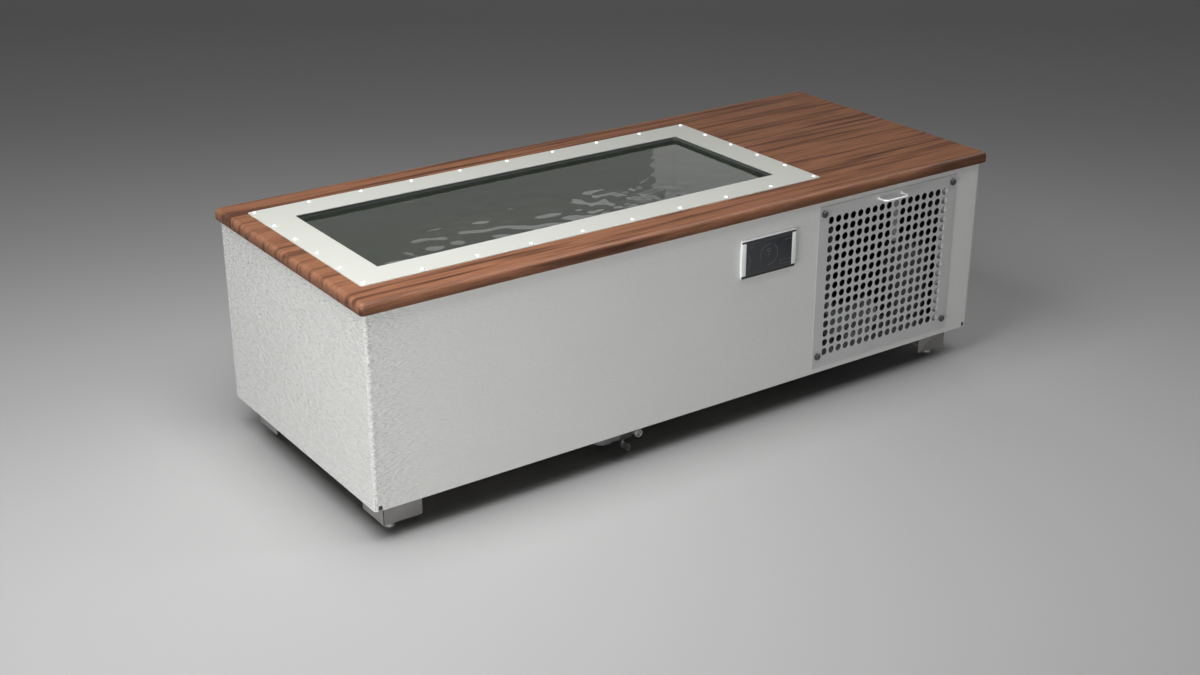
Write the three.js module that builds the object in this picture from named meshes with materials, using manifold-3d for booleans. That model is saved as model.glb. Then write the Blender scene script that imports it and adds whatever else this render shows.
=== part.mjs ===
// A cold plunge tub: an insulated basin under a wood deck, in a folded sheet cabinet with a machinery bay.
// Millimetres. +X runs along the tub to the machinery bay, -Y is the front, +Z is up, and the floor is Z = 0.
import * as THREE from "three";
import { mergeVertices } from "three/addons/utils/BufferGeometryUtils.js";
import Module from "manifold-3d";

const wasm = await Module();
wasm.setup();

// Clearances
const slip = 0.3;
const turningGap = 0.5;
const frameGap = 1;

// Tub basin and its rim
const openingLength = 1418;
const openingWidth = 514;
const tubDepth = 564;
const basinWall = 3;
const basinSetback = 4;
const basinCornerRadius = 20;
const basinFlange = 26;
const rimBand = 105;
const rimThickness = 3;
const rimCornerRadius = 8;
const gasketThickness = 1;
const gasketBand = 20;
const rimScrewInset = 16;
const rimScrewsAlong = 10;
const rimScrewsAcross = 6;
const rimScrewRadius = 2.4;

// Cabinet
const rimInset = 46;
const sideBand = 200;
const bayLength = 694;
const sheet = 2;
const bendRadius = 4;
const lipDepth = 25;
const reliefWidth = 10;
const reliefRadius = 14;
const insulation = 20;
const bulkheadGap = 5.7;
const rearScrews = 5;
const rearScrewRadius = 2;
const rearVentRows = 11;
const rearVentLength = 105;
const rearVentHeight = 9;
const rearVentPitch = 20;
const rearVentGap = 16;

// Wood deck
const woodThickness = 36;
const woodOverhang = 14.5;
const woodEdgeRadius = 15;
const woodCutoutGap = 2;
const woodRebateGap = 1;

// Base, legs and feet
const frameHeight = 40;
const frameWall = 3;
const railWidth = 80;
const crossWidth = 40;
const floorBoard = 20;
const deckSheet = 3;
const legInset = 48;
const legFlange = 125;
const legDrop = 80;
const legSheet = 3;
const legCornerGap = 4;
const legCornerRadius = 5;
const footPlate = 75;
const footInset = 40;
const footGap = 26;
const footRadius = 15;
const footPad = 12;
const studRadius = 6;
const studLength = 66;
const studNutRadius = 10;
const studNutHeight = 10;

// Grille panel over the machinery bay
const grilleWidth = 601;
const grilleSheet = 2;
const grilleCornerRadius = 3;
const grilleFromTop = 21;
const grilleFromEnd = 111;
const grilleColumns = 17;
const grilleRows = 15;
const grillePitchAcross = 31.2;
const grillePitchUp = 32.1;
const grilleHoleRadius = 10.75;
const bayLapSides = 43;
const bayLapEnds = 30;
const bayAboveDeck = 4;
const bayOpeningReturn = 10;
const bayFrameSide = 4.5;
const bayFrameTop = 4;
const thumbFromSide = 19.5;
const thumbFromTop = 24;
const thumbFromBottom = 40;
const thumbHeadRadius = 11;
const thumbHeadHeight = 8;
const thumbHeadBevel = 1.5;
const thumbShankRadius = 3;
const thumbShankLength = 14;
const thumbSlotLength = 17;
const insertRadius = 6;
const insertLength = 8;
const handleSpan = 99;
const handleReach = 35;
const handleWireRadius = 3;
const handleBendRadius = 12;
const handleFromTop = 17;

// Touch screen on the front panel
const screenWidth = 211;
const screenHeight = 122;
const screenDepth = 9.7;
const screenFromTop = 65;
const screenFromGrille = 102;
const screenRail = 14;
const screenRailBow = 2.5;
const screenCap = 8.5;
const screenCapDepth = 3.5;
const screenGlassDepth = 2.5;
const screenStemRadius = 9;
const screenStemLength = 16;

// Water fittings and pipes
const pipeRadius = 16.7;
const pipeWall = 3;
const elbowRadius = 20;
const fittingFlange = 36;
const fittingFlangeDepth = 5;
const fittingBarrel = 24;
const fittingNut = 33;
const fittingNutDepth = 14;
const fittingNutGap = 3;
const fittingTail = 8;
const jetBallRadius = 17.5;
const jetBore = 8;
const fittingFromSide = 57;
const jetBelowRim = 135;
const suctionAboveFloor = 45;
const suctionSlots = 5;
const suctionSlotWidth = 5;
const suctionSlotPitch = 11;

// Drain under the front edge
const drainFromTubCentre = -79;
const drainFromSide = 60;
const drainBarrel = 22;
const drainTail = 36;
const drainLineFromFront = 40;
const drainDrop = 22;
const strainerHoles = 6;
const strainerHoleRadius = 4;
const strainerHoleCircle = 10;
const valveFromDrain = 87;
const valveBodyLength = 44;
const valveBodyRadius = 18;
const valveBallRadius = 14.5;
const valveBore = 9;
const valveStemRadius = 5;
const valveHubRadius = 9;
const valveHubDrop = 3;
const wingHeight = 25;
const wingThickness = 6;
const wingReach = 34;
const outletFromValve = 18;
const outletFromFront = 12;
const outletRadius = 13;

// Pump
const pumpFromBulkhead = 110;
const pumpFromFront = 110;
const pumpAxisHeight = 65;
const voluteRadius = 58;
const voluteLength = 55;
const voluteStub = 22;
const impellerRadius = 46;
const impellerThickness = 14;
const pumpShaftRadius = 6;
const pumpShaftLength = 40;
const motorRadius = 45;
const motorLength = 170;
const motorFootLength = 110;
const motorFootWidth = 80;

// Filter
const filterFromFront = 307;
const filterHeadRadius = 62;
const filterHeadHeight = 50;
const filterHeadUp = 369;
const filterPort = 20;
const bowlRadius = 58;
const bowlWall = 4;
const bowlLength = 290;
const bowlNeckRadius = 50;
const bowlNeckHeight = 16;
const cartridgeRadius = 40;
const cartridgeBore = 14;
const cartridgeLength = 270;

// Chiller
const exchangerRadius = 80;
const exchangerHeight = 430;
const exchangerFromRear = 250;
const exchangerPort = 15;
const exchangerOutletHeight = 79;
const exchangerOutletStub = 4;
const returnFromBulkhead = 28;
const compressorRadius = 82;
const compressorHeight = 280;
const compressorDome = 8;
const compressorShoulder = 37;
const compressorFromEnd = 160;
const compressorFromFront = 155;
const condenserLength = 420;
const condenserHeight = 440;
const condenserDepth = 45;
const condenserFromEnd = 40;
const condenserFromRear = 125;
const condenserTubes = 6;
const condenserTubeRadius = 6;
const condenserTubeOut = 12;
const fanRadius = 108;
const fanHubRadius = 34;
const fanHubDepth = 20;
const fanBlades = 5;
const fanBladeWidth = 42;
const fanBladeSheet = 2;
const fanBladePitch = 25;
const shroudSheet = 2;
const shroudDepth = 42;
const shroudGap = 6;
const strutWidth = 12;
const strutDepth = 4;
const fanMotorRadius = 36;
const fanMotorDepth = 20;
const fanShaftRadius = 5;
const liquidLineRadius = 5;
const liquidLineHeight = 200;
const liquidLineOut = 16;
const gasLineRadius = 15;
const gasLineInset = 62;
const gasLineRise = 30;

// Electrics
const controlBoxDepth = 90;
const controlBoxWidth = 260;
const controlBoxHeight = 200;
const controlBoxFromTop = 75;
const glandRadius = 11;
const glandFlangeRadius = 15;
const glandReach = 12;
const glandTail = 14;
const glandFromEnd = 90;
const glandAboveDeck = 50;

// Number of flat sides on round pieces
const fineSides = 16;
const roundSides = 12;
const pipeSides = 10;
const smallSides = 8;
const boreSides = 6;

// Places that follow from the sizes
const basinInnerLength = openingLength + 2 * basinSetback;
const basinInnerWidth = openingWidth + 2 * basinSetback;
const basinOuterLength = basinInnerLength + 2 * basinWall;
const basinOuterWidth = basinInnerWidth + 2 * basinWall;
const rimLength = openingLength + 2 * rimBand;
const rimWidth = openingWidth + 2 * rimBand;
const tubFromLeft = rimInset + rimBand + openingLength / 2;
const bulkheadFromTub = basinOuterLength / 2 + slip + insulation + bulkheadGap;
const shellLength = tubFromLeft + bulkheadFromTub + sheet + bayLength + sheet;
const shellWidth = openingWidth + 2 * sideBand;
const left = -shellLength / 2;
const right = shellLength / 2;
const front = -shellWidth / 2;
const rear = shellWidth / 2;
const tubX = left + tubFromLeft;
const bulkheadX = tubX + bulkheadFromTub;
const bayX = bulkheadX + sheet;
const wallX = tubX + basinInnerLength / 2;

const legBottom = footGap;
const shellBottom = legBottom + legDrop;
const frameBottom = shellBottom + sheet;
const frameTop = frameBottom + frameHeight;
const deckTop = frameTop + deckSheet;
const basinBottom = frameTop + floorBoard;
const basinFloor = basinBottom + basinWall;
const rimTop = basinFloor + tubDepth;
const woodTop = rimTop - rimThickness;
const woodBottom = woodTop - woodThickness;
const shellTop = woodBottom;
const basinTop = woodTop - gasketThickness;
const boardTop = shellTop - sheet - turningGap;

const wrapRear = rear - sheet - slip;
const frameFront = front + sheet + frameGap;
const frameRear = wrapRear - sheet - frameGap;
const frameLeft = left + sheet + frameGap;
const frameRight = right - sheet - frameGap;

const fittingY = -openingWidth / 2 + fittingFromSide;
const jetZ = rimTop - jetBelowRim;
const jetAxis = [fittingY, jetZ];
const suctionZ = basinFloor + suctionAboveFloor;
const tailX = bayX + fittingTail;

const grilleX = right - grilleFromEnd - grilleWidth / 2;
const grilleTop = shellTop - grilleFromTop;
const grilleLow = deckTop + bayAboveDeck - bayLapEnds;
const grilleHeight = grilleTop - grilleLow;
const grilleZ = (grilleTop + grilleLow) / 2;
const grilleBack = front - slip;
const grilleFront = grilleBack - grilleSheet;

// Solids

function solid(geometry) {
  const plain = geometry.clone();
  plain.deleteAttribute("normal");
  plain.deleteAttribute("uv");
  const merged = mergeVertices(plain);
  const corners = [];
  for (let i = 0; i < merged.index.count; i += 3) {
    const [a, b, c] = [0, 1, 2].map((k) => merged.index.getX(i + k));
    if (a !== b && b !== c && c !== a) corners.push(a, b, c);
  }
  const vertProperties = new Float32Array(merged.attributes.position.array);
  const outward = new wasm.Manifold(
    new wasm.Mesh({ numProp: 3, vertProperties, triVerts: new Uint32Array(corners) }),
  );
  if (outward.volume() > 0) return outward;
  const triVerts = new Uint32Array(corners.reverse());
  return new wasm.Manifold(new wasm.Mesh({ numProp: 3, vertProperties, triVerts }));
}

function join(...pieces) {
  return pieces.flat().reduce((whole, piece) => whole.add(piece));
}

function cut(piece, ...tools) {
  return tools.flat().reduce((rest, tool) => rest.subtract(tool), piece);
}

function block([x0, y0, z0], [x1, y1, z1]) {
  const size = [Math.abs(x1 - x0), Math.abs(y1 - y0), Math.abs(z1 - z0)];
  const box = new THREE.BoxGeometry(...size);
  return solid(box.translate((x0 + x1) / 2, (y0 + y1) / 2, (z0 + z1) / 2));
}

function rod(from, to, radius, sides = roundSides) {
  const start = new THREE.Vector3(...from);
  const along = new THREE.Vector3(...to).sub(start);
  const bar = new THREE.CylinderGeometry(radius, radius, along.length(), sides);
  const upright = new THREE.Vector3(0, 1, 0);
  bar.applyQuaternion(new THREE.Quaternion().setFromUnitVectors(upright, along.clone().normalize()));
  return solid(bar.translate(...start.addScaledVector(along, 0.5).toArray()));
}

function rodX(x0, x1, [y, z], radius, sides) {
  return rod([x0, y, z], [x1, y, z], radius, sides);
}

function rodY(y0, y1, [x, z], radius, sides) {
  return rod([x, y0, z], [x, y1, z], radius, sides);
}

function rodZ(z0, z1, [x, y], radius, sides) {
  return rod([x, y, z0], [x, y, z1], radius, sides);
}

// The radius at which a hole's flat sides stay clear of a round piece of the given radius
function clearRadius(radius, sides) {
  return radius / Math.cos(Math.PI / sides);
}

function clearanceX(x0, x1, centre, radius, sides = smallSides) {
  return rodX(x0, x1, centre, clearRadius(radius, sides), sides);
}

function clearanceY(y0, y1, centre, radius, sides = smallSides) {
  return rodY(y0, y1, centre, clearRadius(radius, sides), sides);
}

function clearanceZ(z0, z1, centre, radius, sides = smallSides) {
  return rodZ(z0, z1, centre, clearRadius(radius, sides), sides);
}

function ball(centre, radius, sides = roundSides) {
  return solid(new THREE.SphereGeometry(radius, sides, Math.ceil(sides / 2)).translate(...centre));
}

// A round piece about an upright axis, from a profile of [radius, height] points
function turned(profile, [x, y, z], sides = roundSides) {
  const points = profile.map(([radius, height]) => new THREE.Vector2(radius, height));
  return solid(new THREE.LatheGeometry(points, sides).rotateX(Math.PI / 2).translate(x, y, z));
}

function roundedRectangle(path, x, y, length, width, radius) {
  const [x0, x1, y0, y1] = [x - length / 2, x + length / 2, y - width / 2, y + width / 2];
  path.moveTo(x0 + radius, y0);
  path.absarc(x1 - radius, y0 + radius, radius, -Math.PI / 2, 0, false);
  path.absarc(x1 - radius, y1 - radius, radius, 0, Math.PI / 2, false);
  path.absarc(x0 + radius, y1 - radius, radius, Math.PI / 2, Math.PI, false);
  path.absarc(x0 + radius, y0 + radius, radius, Math.PI, 1.5 * Math.PI, false);
  path.closePath();
  return path;
}

function prism(shape, bottom, top, curveSegments = 3) {
  const depth = top - bottom;
  const geometry = new THREE.ExtrudeGeometry(shape, { depth, bevelEnabled: false, curveSegments });
  return solid(geometry.translate(0, 0, bottom));
}

// A plate drawn in X and Z, whose back lies at the given Y and which is thick towards the front
function frontPlate(shape, back, thickness, curveSegments = 3) {
  const options = { depth: thickness, bevelEnabled: false, curveSegments };
  const geometry = new THREE.ExtrudeGeometry(shape, options);
  return solid(geometry.rotateX(Math.PI / 2).translate(0, back, 0));
}

function polygonHole(x, y, radius, sides) {
  const hole = new THREE.Path();
  for (let k = 0; k < sides; k += 1) {
    const angle = (2 * Math.PI * k) / sides;
    const point = [x + radius * Math.cos(angle), y + radius * Math.sin(angle)];
    if (k === 0) hole.moveTo(...point);
    else hole.lineTo(...point);
  }
  hole.closePath();
  return hole;
}

// A run of straight lengths with a round elbow at each corner
function run(points, radius, corner, sides = pipeSides) {
  const lengths = points.slice(1).map((point, k) => rod(points[k], point, radius, sides));
  const elbows = points.slice(1, -1).map((point) => ball(point, corner, sides));
  return join(lengths, elbows);
}

function pipe(points) {
  const ends = [...points];
  ends[0] = beyond(points[1], points[0]);
  ends[ends.length - 1] = beyond(points.at(-2), points.at(-1));
  const bore = pipeRadius - pipeWall;
  return cut(run(points, pipeRadius, elbowRadius), run(ends, bore, bore, boreSides));
}

function beyond(from, to) {
  const start = new THREE.Vector3(...from);
  const end = new THREE.Vector3(...to);
  const step = end.clone().sub(start).normalize();
  return end.add(step).toArray();
}

function spread(from, to, count) {
  return Array.from({ length: count }, (unused, k) => from + ((to - from) * k) / (count - 1));
}

const tub = new THREE.Group();

function add(name, piece, [color, roughness, metalness]) {
  const mesh = piece.getMesh();
  const geometry = new THREE.BufferGeometry();
  geometry.setAttribute("position", new THREE.BufferAttribute(new Float32Array(mesh.vertProperties), 3));
  geometry.setIndex(new THREE.BufferAttribute(new Uint32Array(mesh.triVerts), 1));
  geometry.computeVertexNormals();
  const part = new THREE.Mesh(geometry, new THREE.MeshStandardMaterial({ color, roughness, metalness }));
  part.name = name;
  tub.add(part);
}

// Finishes: colour, roughness, metalness
const powderCoat = [0xc4c4c1, 0.55, 0.0];
const walnut = [0x925f44, 0.35, 0.0];
const rimWhite = [0xe4e6da, 0.4, 0.0];
const basinGrey = [0x565b56, 0.45, 0.0];
const stainless = [0x8d8d8b, 0.35, 0.9];
const chrome = [0xe8e8ea, 0.08, 1.0];
const darkMetal = [0x4a4b4d, 0.5, 0.7];
const plateGrey = [0x8f8f8f, 0.45, 0.3];
const silver = [0xd5d6d8, 0.3, 0.8];
const blackPlastic = [0x1b1c1e, 0.5, 0.0];
const glassBlack = [0x2a2c30, 0.1, 0.0];
const pipeGrey = [0x9c9c98, 0.5, 0.0];
const pipeWhite = [0xe6e6e2, 0.45, 0.0];
const foam = [0xd8d4c4, 0.9, 0.0];
const rubber = [0x222222, 0.8, 0.0];
const copper = [0xb87450, 0.35, 1.0];
const frameBlack = [0x2c2d2f, 0.6, 0.2];

// Cabinet

function thumbPlaces() {
  const across = grilleWidth / 2 - thumbFromSide;
  const high = grilleTop - thumbFromTop;
  const low = grilleLow + thumbFromBottom;
  return [
    { name: "top_left", x: grilleX - across, z: high, slot: 1 },
    { name: "top_right", x: grilleX + across, z: high, slot: 1 },
    { name: "bottom_left", x: grilleX - across, z: low, slot: -1 },
    { name: "bottom_right", x: grilleX + across, z: low, slot: -1 },
  ];
}

function rearScrewPlaces(side) {
  const heights = spread(shellBottom + 2 * lipDepth, shellTop - 2 * lipDepth, rearScrews);
  const x = (side * (shellLength - lipDepth)) / 2;
  return heights.map((z) => [x, z]);
}

const screenX = grilleX - grilleWidth / 2 - screenFromGrille - screenWidth / 2;
const screenZ = shellTop - screenFromTop - screenHeight / 2;

// The lips of one end: along its bottom, its top and its rear edge
function endLips(side) {
  const edge = (side * shellLength) / 2;
  const outer = edge - (side * sheet) / 2;
  const inner = edge - side * lipDepth;
  const lips = [shellBottom, shellTop - sheet].map((z) => {
    return block([outer, front + lipDepth + bendRadius, z], [inner, wrapRear, z + sheet]);
  });
  lips.push(block([outer, wrapRear - sheet, shellBottom], [inner, wrapRear, shellTop]));
  return lips;
}

function rearLipHoles(side) {
  return rearScrewPlaces(side).map(([x, z]) => {
    return rodY(wrapRear - 2 * sheet, rear, [x, z], rearScrewRadius + turningGap, boreSides);
  });
}

// A rounded notch at the foot of each front corner
function cornerRelief(side) {
  const relief = new THREE.Shape();
  relief.moveTo(front - 1, shellBottom - 1);
  relief.lineTo(front + reliefRadius, shellBottom - 1);
  relief.absarc(front + reliefRadius, shellBottom + reliefRadius, reliefRadius, 1.5 * Math.PI, Math.PI, true);
  relief.lineTo(front - 1, shellBottom + reliefRadius);
  relief.closePath();
  const depth = reliefWidth + 1;
  const cutter = new THREE.ExtrudeGeometry(relief, { depth, bevelEnabled: false, curveSegments: 4 });
  cutter.applyMatrix4(new THREE.Matrix4().makeBasis(
    new THREE.Vector3(0, 1, 0), new THREE.Vector3(0, 0, 1), new THREE.Vector3(1, 0, 0),
  ));
  return solid(cutter.translate(side < 0 ? left - 1 : right - reliefWidth, 0, 0));
}

const bayHalfWidth = grilleWidth / 2 - bayLapSides;
const bayHalfHeight = grilleHeight / 2 - bayLapEnds;

// The opening of the machinery bay, between two depths
function bayOpening(y0, y1) {
  return block(
    [grilleX - bayHalfWidth, y0, grilleZ - bayHalfHeight],
    [grilleX + bayHalfWidth, y1, grilleZ + bayHalfHeight],
  );
}

function thumbHoles(y0, y1) {
  return thumbPlaces().map(({ x, z }) => {
    return clearanceY(y0, y1, [x, z], thumbShankRadius + turningGap, boreSides);
  });
}

// The front, its two rounded corners and the left end are one folded sheet, with lips along its other edges
function cabinetWrap() {
  const inside = bendRadius - sheet;
  const plan = new THREE.Shape();
  plan.moveTo(left, wrapRear);
  plan.absarc(left + bendRadius, front + bendRadius, bendRadius, Math.PI, 1.5 * Math.PI, false);
  plan.absarc(right - bendRadius, front + bendRadius, bendRadius, -Math.PI / 2, 0, false);
  plan.absarc(right - bendRadius, front + bendRadius, inside, 0, -Math.PI / 2, true);
  plan.absarc(left + bendRadius, front + bendRadius, inside, 1.5 * Math.PI, Math.PI, true);
  plan.lineTo(left + sheet, wrapRear);
  plan.closePath();
  const lipStart = lipDepth + bendRadius;
  const lips = endLips(-1);
  for (const z of [shellBottom, shellTop - sheet]) {
    const low = [left + lipStart, front + sheet / 2, z];
    lips.push(block(low, [right - lipStart, front + lipDepth, z + sheet]));
  }
  const behind = front + sheet + 1;
  const stem = screenStemRadius + turningGap;
  return cut(
    join(prism(plan, shellBottom, shellTop, 2), lips),
    bayOpening(front - 1, behind),
    thumbHoles(front - 1, behind),
    clearanceY(front - 1, behind, [screenX, screenZ], stem),
    [-1, 1].map(cornerRelief),
    rearLipHoles(-1),
  );
}

// The machinery end is a panel of its own, which meets the front's rounded corner and comes off for service
function rightEndPanel() {
  const face = block([right - sheet, front + bendRadius + slip, shellBottom], [right, wrapRear, shellTop]);
  return cut(join(face, endLips(1)), cornerRelief(1), rearLipHoles(1));
}

// A folded frame welded behind the bay's opening, with a threaded insert for each thumb screw
function bayFrame() {
  const face = front + sheet + slip;
  const [halfWidth, halfHeight] = [bayHalfWidth + sheet, bayHalfHeight + sheet];
  const flangeHalf = grilleWidth / 2 - thumbFromSide + insertRadius + bayFrameSide;
  const flangeTop = grilleTop - thumbFromTop + insertRadius + bayFrameTop;
  const flange = block(
    [grilleX - flangeHalf, face, grilleZ - halfHeight],
    [grilleX + flangeHalf, face + sheet, flangeTop],
  );
  const deep = face + sheet + bayOpeningReturn;
  const walls = block(
    [grilleX - halfWidth, face, grilleZ - halfHeight],
    [grilleX + halfWidth, deep, grilleZ + halfHeight],
  );
  const insertEnd = face + insertLength;
  const inserts = thumbPlaces().map(({ x, z }) => rodY(face, insertEnd, [x, z], insertRadius, boreSides));
  const frame = join(flange, walls, inserts);
  return cut(frame, bayOpening(face - 1, deep + 1), thumbHoles(face - 1, insertEnd + 1));
}

const condenserRight = right - sheet - condenserFromEnd;
const fanX = condenserRight - condenserLength / 2;
const fanZ = deckTop + condenserHeight / 2;
const fanAxis = [fanX, fanZ];
const glandX = right - glandFromEnd;
const glandZ = deckTop + glandAboveDeck;

function rearPanel() {
  const lipStart = lipDepth + bendRadius;
  const face = block([left, rear - sheet, shellBottom], [right, rear, shellTop]);
  const lipFront = rear - lipDepth;
  const lip = block([left + lipStart, lipFront, shellBottom], [right - lipStart, rear, shellBottom + sheet]);
  const holes = [-1, 1].flatMap(rearScrewPlaces).map(([x, z]) => {
    return rodY(rear - sheet - 1, rear + 1, [x, z], rearScrewRadius + turningGap, boreSides);
  });
  holes.push(clearanceY(rear - sheet - 1, rear + 1, [glandX, glandZ], glandRadius + slip));
  const half = ((rearVentRows - 1) * rearVentPitch) / 2;
  for (const z of spread(fanZ - half, fanZ + half, rearVentRows)) {
    for (const side of [-1, 1]) {
      const near = fanX + (side * rearVentGap) / 2;
      const low = [near, rear - sheet - 1, z - rearVentHeight / 2];
      holes.push(block(low, [near + side * rearVentLength, rear + 1, z + rearVentHeight / 2]));
    }
  }
  return cut(join(face, lip), holes);
}

function bulkhead() {
  const setback = lipDepth + slip;
  const panel = block([bulkheadX, front + setback, frameTop], [bayX, rear - setback, boardTop]);
  const hole = fittingBarrel + turningGap;
  const holes = [jetZ, suctionZ].map((z) => clearanceX(bulkheadX - 1, bayX + 1, [fittingY, z], hole));
  return cut(panel, holes);
}

add("cabinet_wrap", cabinetWrap(), powderCoat);
add("right_end_panel", rightEndPanel(), powderCoat);
add("bay_frame", bayFrame(), plateGrey);
add("rear_panel", rearPanel(), powderCoat);
add("bulkhead", bulkhead(), plateGrey);

// Base frame, machinery deck, legs and levelling feet

// A channel section along X, open towards the given side in Y
function channelAlongX(x0, x1, web, open) {
  const inner = Math.sign(open - web) * frameWall;
  const [low, high] = [frameBottom + frameWall, frameTop - frameWall];
  const whole = block([x0, web, frameBottom], [x1, open, frameTop]);
  return cut(whole, block([x0 - 1, web + inner, low], [x1 + 1, open + inner, high]));
}

function channelAlongY(y0, y1, web, open) {
  const inner = Math.sign(open - web) * frameWall;
  const [low, high] = [frameBottom + frameWall, frameTop - frameWall];
  const whole = block([web, y0, frameBottom], [open, y1, frameTop]);
  return cut(whole, block([web + inner, y0 - 1, low], [open + inner, y1 + 1, high]));
}

function baseFrame() {
  const [y0, y1] = [frameFront + frameWall / 2, frameRear - frameWall / 2];
  const third = basinOuterLength / 6;
  const members = [
    channelAlongX(frameLeft, frameRight, frameFront, frameFront + railWidth),
    channelAlongX(frameLeft, frameRight, frameRear, frameRear - railWidth),
    channelAlongY(y0, y1, frameLeft, frameLeft + railWidth),
    channelAlongY(y0, y1, frameRight, frameRight - railWidth),
  ];
  for (const x of [tubX - third, tubX + third, bulkheadX]) {
    members.push(channelAlongY(y0, y1, x - crossWidth / 2, x + crossWidth / 2));
  }
  return join(members);
}

function machineryDeck() {
  return block([bayX + slip, frameFront + slip, frameTop], [frameRight - slip, frameRear - slip, deckTop]);
}

const corners = [
  { name: "front_left", sx: -1, sy: -1 },
  { name: "front_right", sx: 1, sy: -1 },
  { name: "rear_left", sx: -1, sy: 1 },
  { name: "rear_right", sx: 1, sy: 1 },
];

function footPlace({ sx, sy }) {
  return [sx * (shellLength / 2 - legInset - footInset), sy * (shellWidth / 2 - legInset - footInset)];
}

// Two folded flanges under a top plate, with a foot plate at the bottom that holds the stud's nut
function leg(corner) {
  const { sx, sy } = corner;
  const [x0, y0] = [sx * (shellLength / 2 - legInset), sy * (shellWidth / 2 - legInset)];
  const [x1, y1] = [x0 - sx * legFlange, y0 - sy * legFlange];
  const top = frameBottom - slip;
  const [footX, footY] = footPlace(corner);
  const topPlate = block([x0, y0, top - legSheet], [x1, y1, top]);
  const frontFlange = block([x0 - sx * legCornerGap, y0, legBottom], [x1, y0 - sy * legSheet, top]);
  const sideFlange = block([x0, y0 - sy * legCornerGap, legBottom], [x0 - sx * legSheet, y1, top]);
  const foot = block([x0, y0, legBottom], [x0 - sx * footPlate, y0 - sy * footPlate, legBottom + legSheet]);
  const nutTop = legBottom + legSheet + studNutHeight;
  const nut = rodZ(legBottom + 1, nutTop, [footX, footY], studNutRadius, 6);
  const bore = clearanceZ(legBottom - 1, nutTop + 1, [footX, footY], studRadius + slip);
  const radius = legCornerRadius;
  const centreZ = legBottom + radius;
  const [roundX, roundY] = [x1 + sx * radius, y1 + sy * radius];
  const frontRound = cut(
    block([x1 - sx, y0 + sy, legBottom - 1], [roundX, y0 - sy * 2 * legSheet, centreZ]),
    rodY(y0 + 2 * sy, y0 - sy * 3 * legSheet, [roundX, centreZ], radius, smallSides),
  );
  const sideRound = cut(
    block([x0 + sx, y1 - sy, legBottom - 1], [x0 - sx * 2 * legSheet, roundY, centreZ]),
    rodX(x0 + 2 * sx, x0 - sx * 3 * legSheet, [roundY, centreZ], radius, smallSides),
  );
  return cut(join(topPlate, frontFlange, sideFlange, foot, nut), bore, frontRound, sideRound);
}

function levellingFoot(corner) {
  const profile = [
    [0, 0],
    [footRadius - 2, 0],
    [footRadius, 2],
    [footRadius, footPad - 3],
    [footRadius - 3, footPad],
    [studRadius, footPad],
    [studRadius, footPad + studLength],
    [0, footPad + studLength],
  ];
  const [x, y] = footPlace(corner);
  return turned(profile, [x, y, 0]);
}

add("base_frame", baseFrame(), frameBlack);
add("machinery_deck", machineryDeck(), stainless);
for (const corner of corners) {
  add(`leg_${corner.name}`, leg(corner), stainless);
  add(`levelling_foot_${corner.name}`, levellingFoot(corner), darkMetal);
}

// Wood deck

function rimScrewPlaces() {
  const [halfX, halfY] = [rimLength / 2 - rimScrewInset, rimWidth / 2 - rimScrewInset];
  const along = spread(-halfX, halfX, rimScrewsAlong);
  const across = spread(-halfY, halfY, rimScrewsAcross).slice(1, -1);
  const long = [-halfY, halfY].flatMap((y) => along.map((x) => [tubX + x, y]));
  const short = [-halfX, halfX].flatMap((x) => across.map((y) => [tubX + x, y]));
  return [...long, ...short];
}

function woodDeck() {
  const radius = woodEdgeRadius;
  const length = shellLength + 2 * (woodOverhang - radius);
  const width = shellWidth + 2 * (woodOverhang - radius);
  const plan = new THREE.Shape();
  plan.moveTo(-length / 2, -width / 2);
  plan.lineTo(length / 2, -width / 2);
  plan.lineTo(length / 2, width / 2);
  plan.lineTo(-length / 2, width / 2);
  plan.closePath();
  const slab = solid(new THREE.ExtrudeGeometry(plan, {
    depth: woodThickness, bevelThickness: radius, bevelSize: radius, bevelSegments: 4,
  }).translate(0, 0, woodBottom - radius));
  const reach = shellLength;
  const below = block([-reach, -reach, woodBottom - 2 * radius], [reach, reach, woodBottom]);
  const cutout = new THREE.Shape();
  const gap = 2 * woodCutoutGap;
  roundedRectangle(cutout, tubX, 0, basinOuterLength + gap, basinOuterWidth + gap,
    basinCornerRadius + basinWall + woodCutoutGap);
  const rebate = new THREE.Shape();
  const border = 2 * (basinFlange + woodRebateGap);
  roundedRectangle(rebate, tubX, 0, basinOuterLength + border, basinOuterWidth + border,
    basinCornerRadius + basinFlange);
  const flangeSeat = basinTop - basinWall;
  const through = prism(cutout, woodBottom - 1, woodTop + 1);
  return cut(slab, below, through, prism(rebate, flangeSeat, woodTop + 1));
}

add("wood_top", woodDeck(), walnut);

// Basin, gasket and rim

function basinOutline(growth) {
  const outline = new THREE.Shape();
  return roundedRectangle(outline, tubX, 0, basinInnerLength + 2 * growth, basinInnerWidth + 2 * growth,
    basinCornerRadius + growth);
}

const drainX = tubX + drainFromTubCentre;
const drainY = -openingWidth / 2 + drainFromSide;
const drainAxis = [drainX, drainY];

function tubBasin() {
  const bucket = prism(basinOutline(basinWall), basinBottom, basinTop);
  const flange = prism(basinOutline(basinWall + basinFlange), basinTop - basinWall + slip, basinTop);
  const inside = prism(basinOutline(0), basinFloor, basinTop + 1);
  const outside = wallX + 2 * basinWall;
  const hole = fittingBarrel + turningGap;
  const holes = [jetZ, suctionZ].map((z) => clearanceX(wallX - 2, outside, [fittingY, z], hole));
  holes.push(clearanceZ(basinBottom - 1, basinFloor + 1, drainAxis, drainBarrel + turningGap));
  return cut(join(bucket, flange), inside, holes);
}

function rimGasket() {
  const inside = prism(basinOutline(0), basinTop - 1, woodTop + 1);
  return cut(prism(basinOutline(gasketBand), basinTop, woodTop), inside);
}

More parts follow.
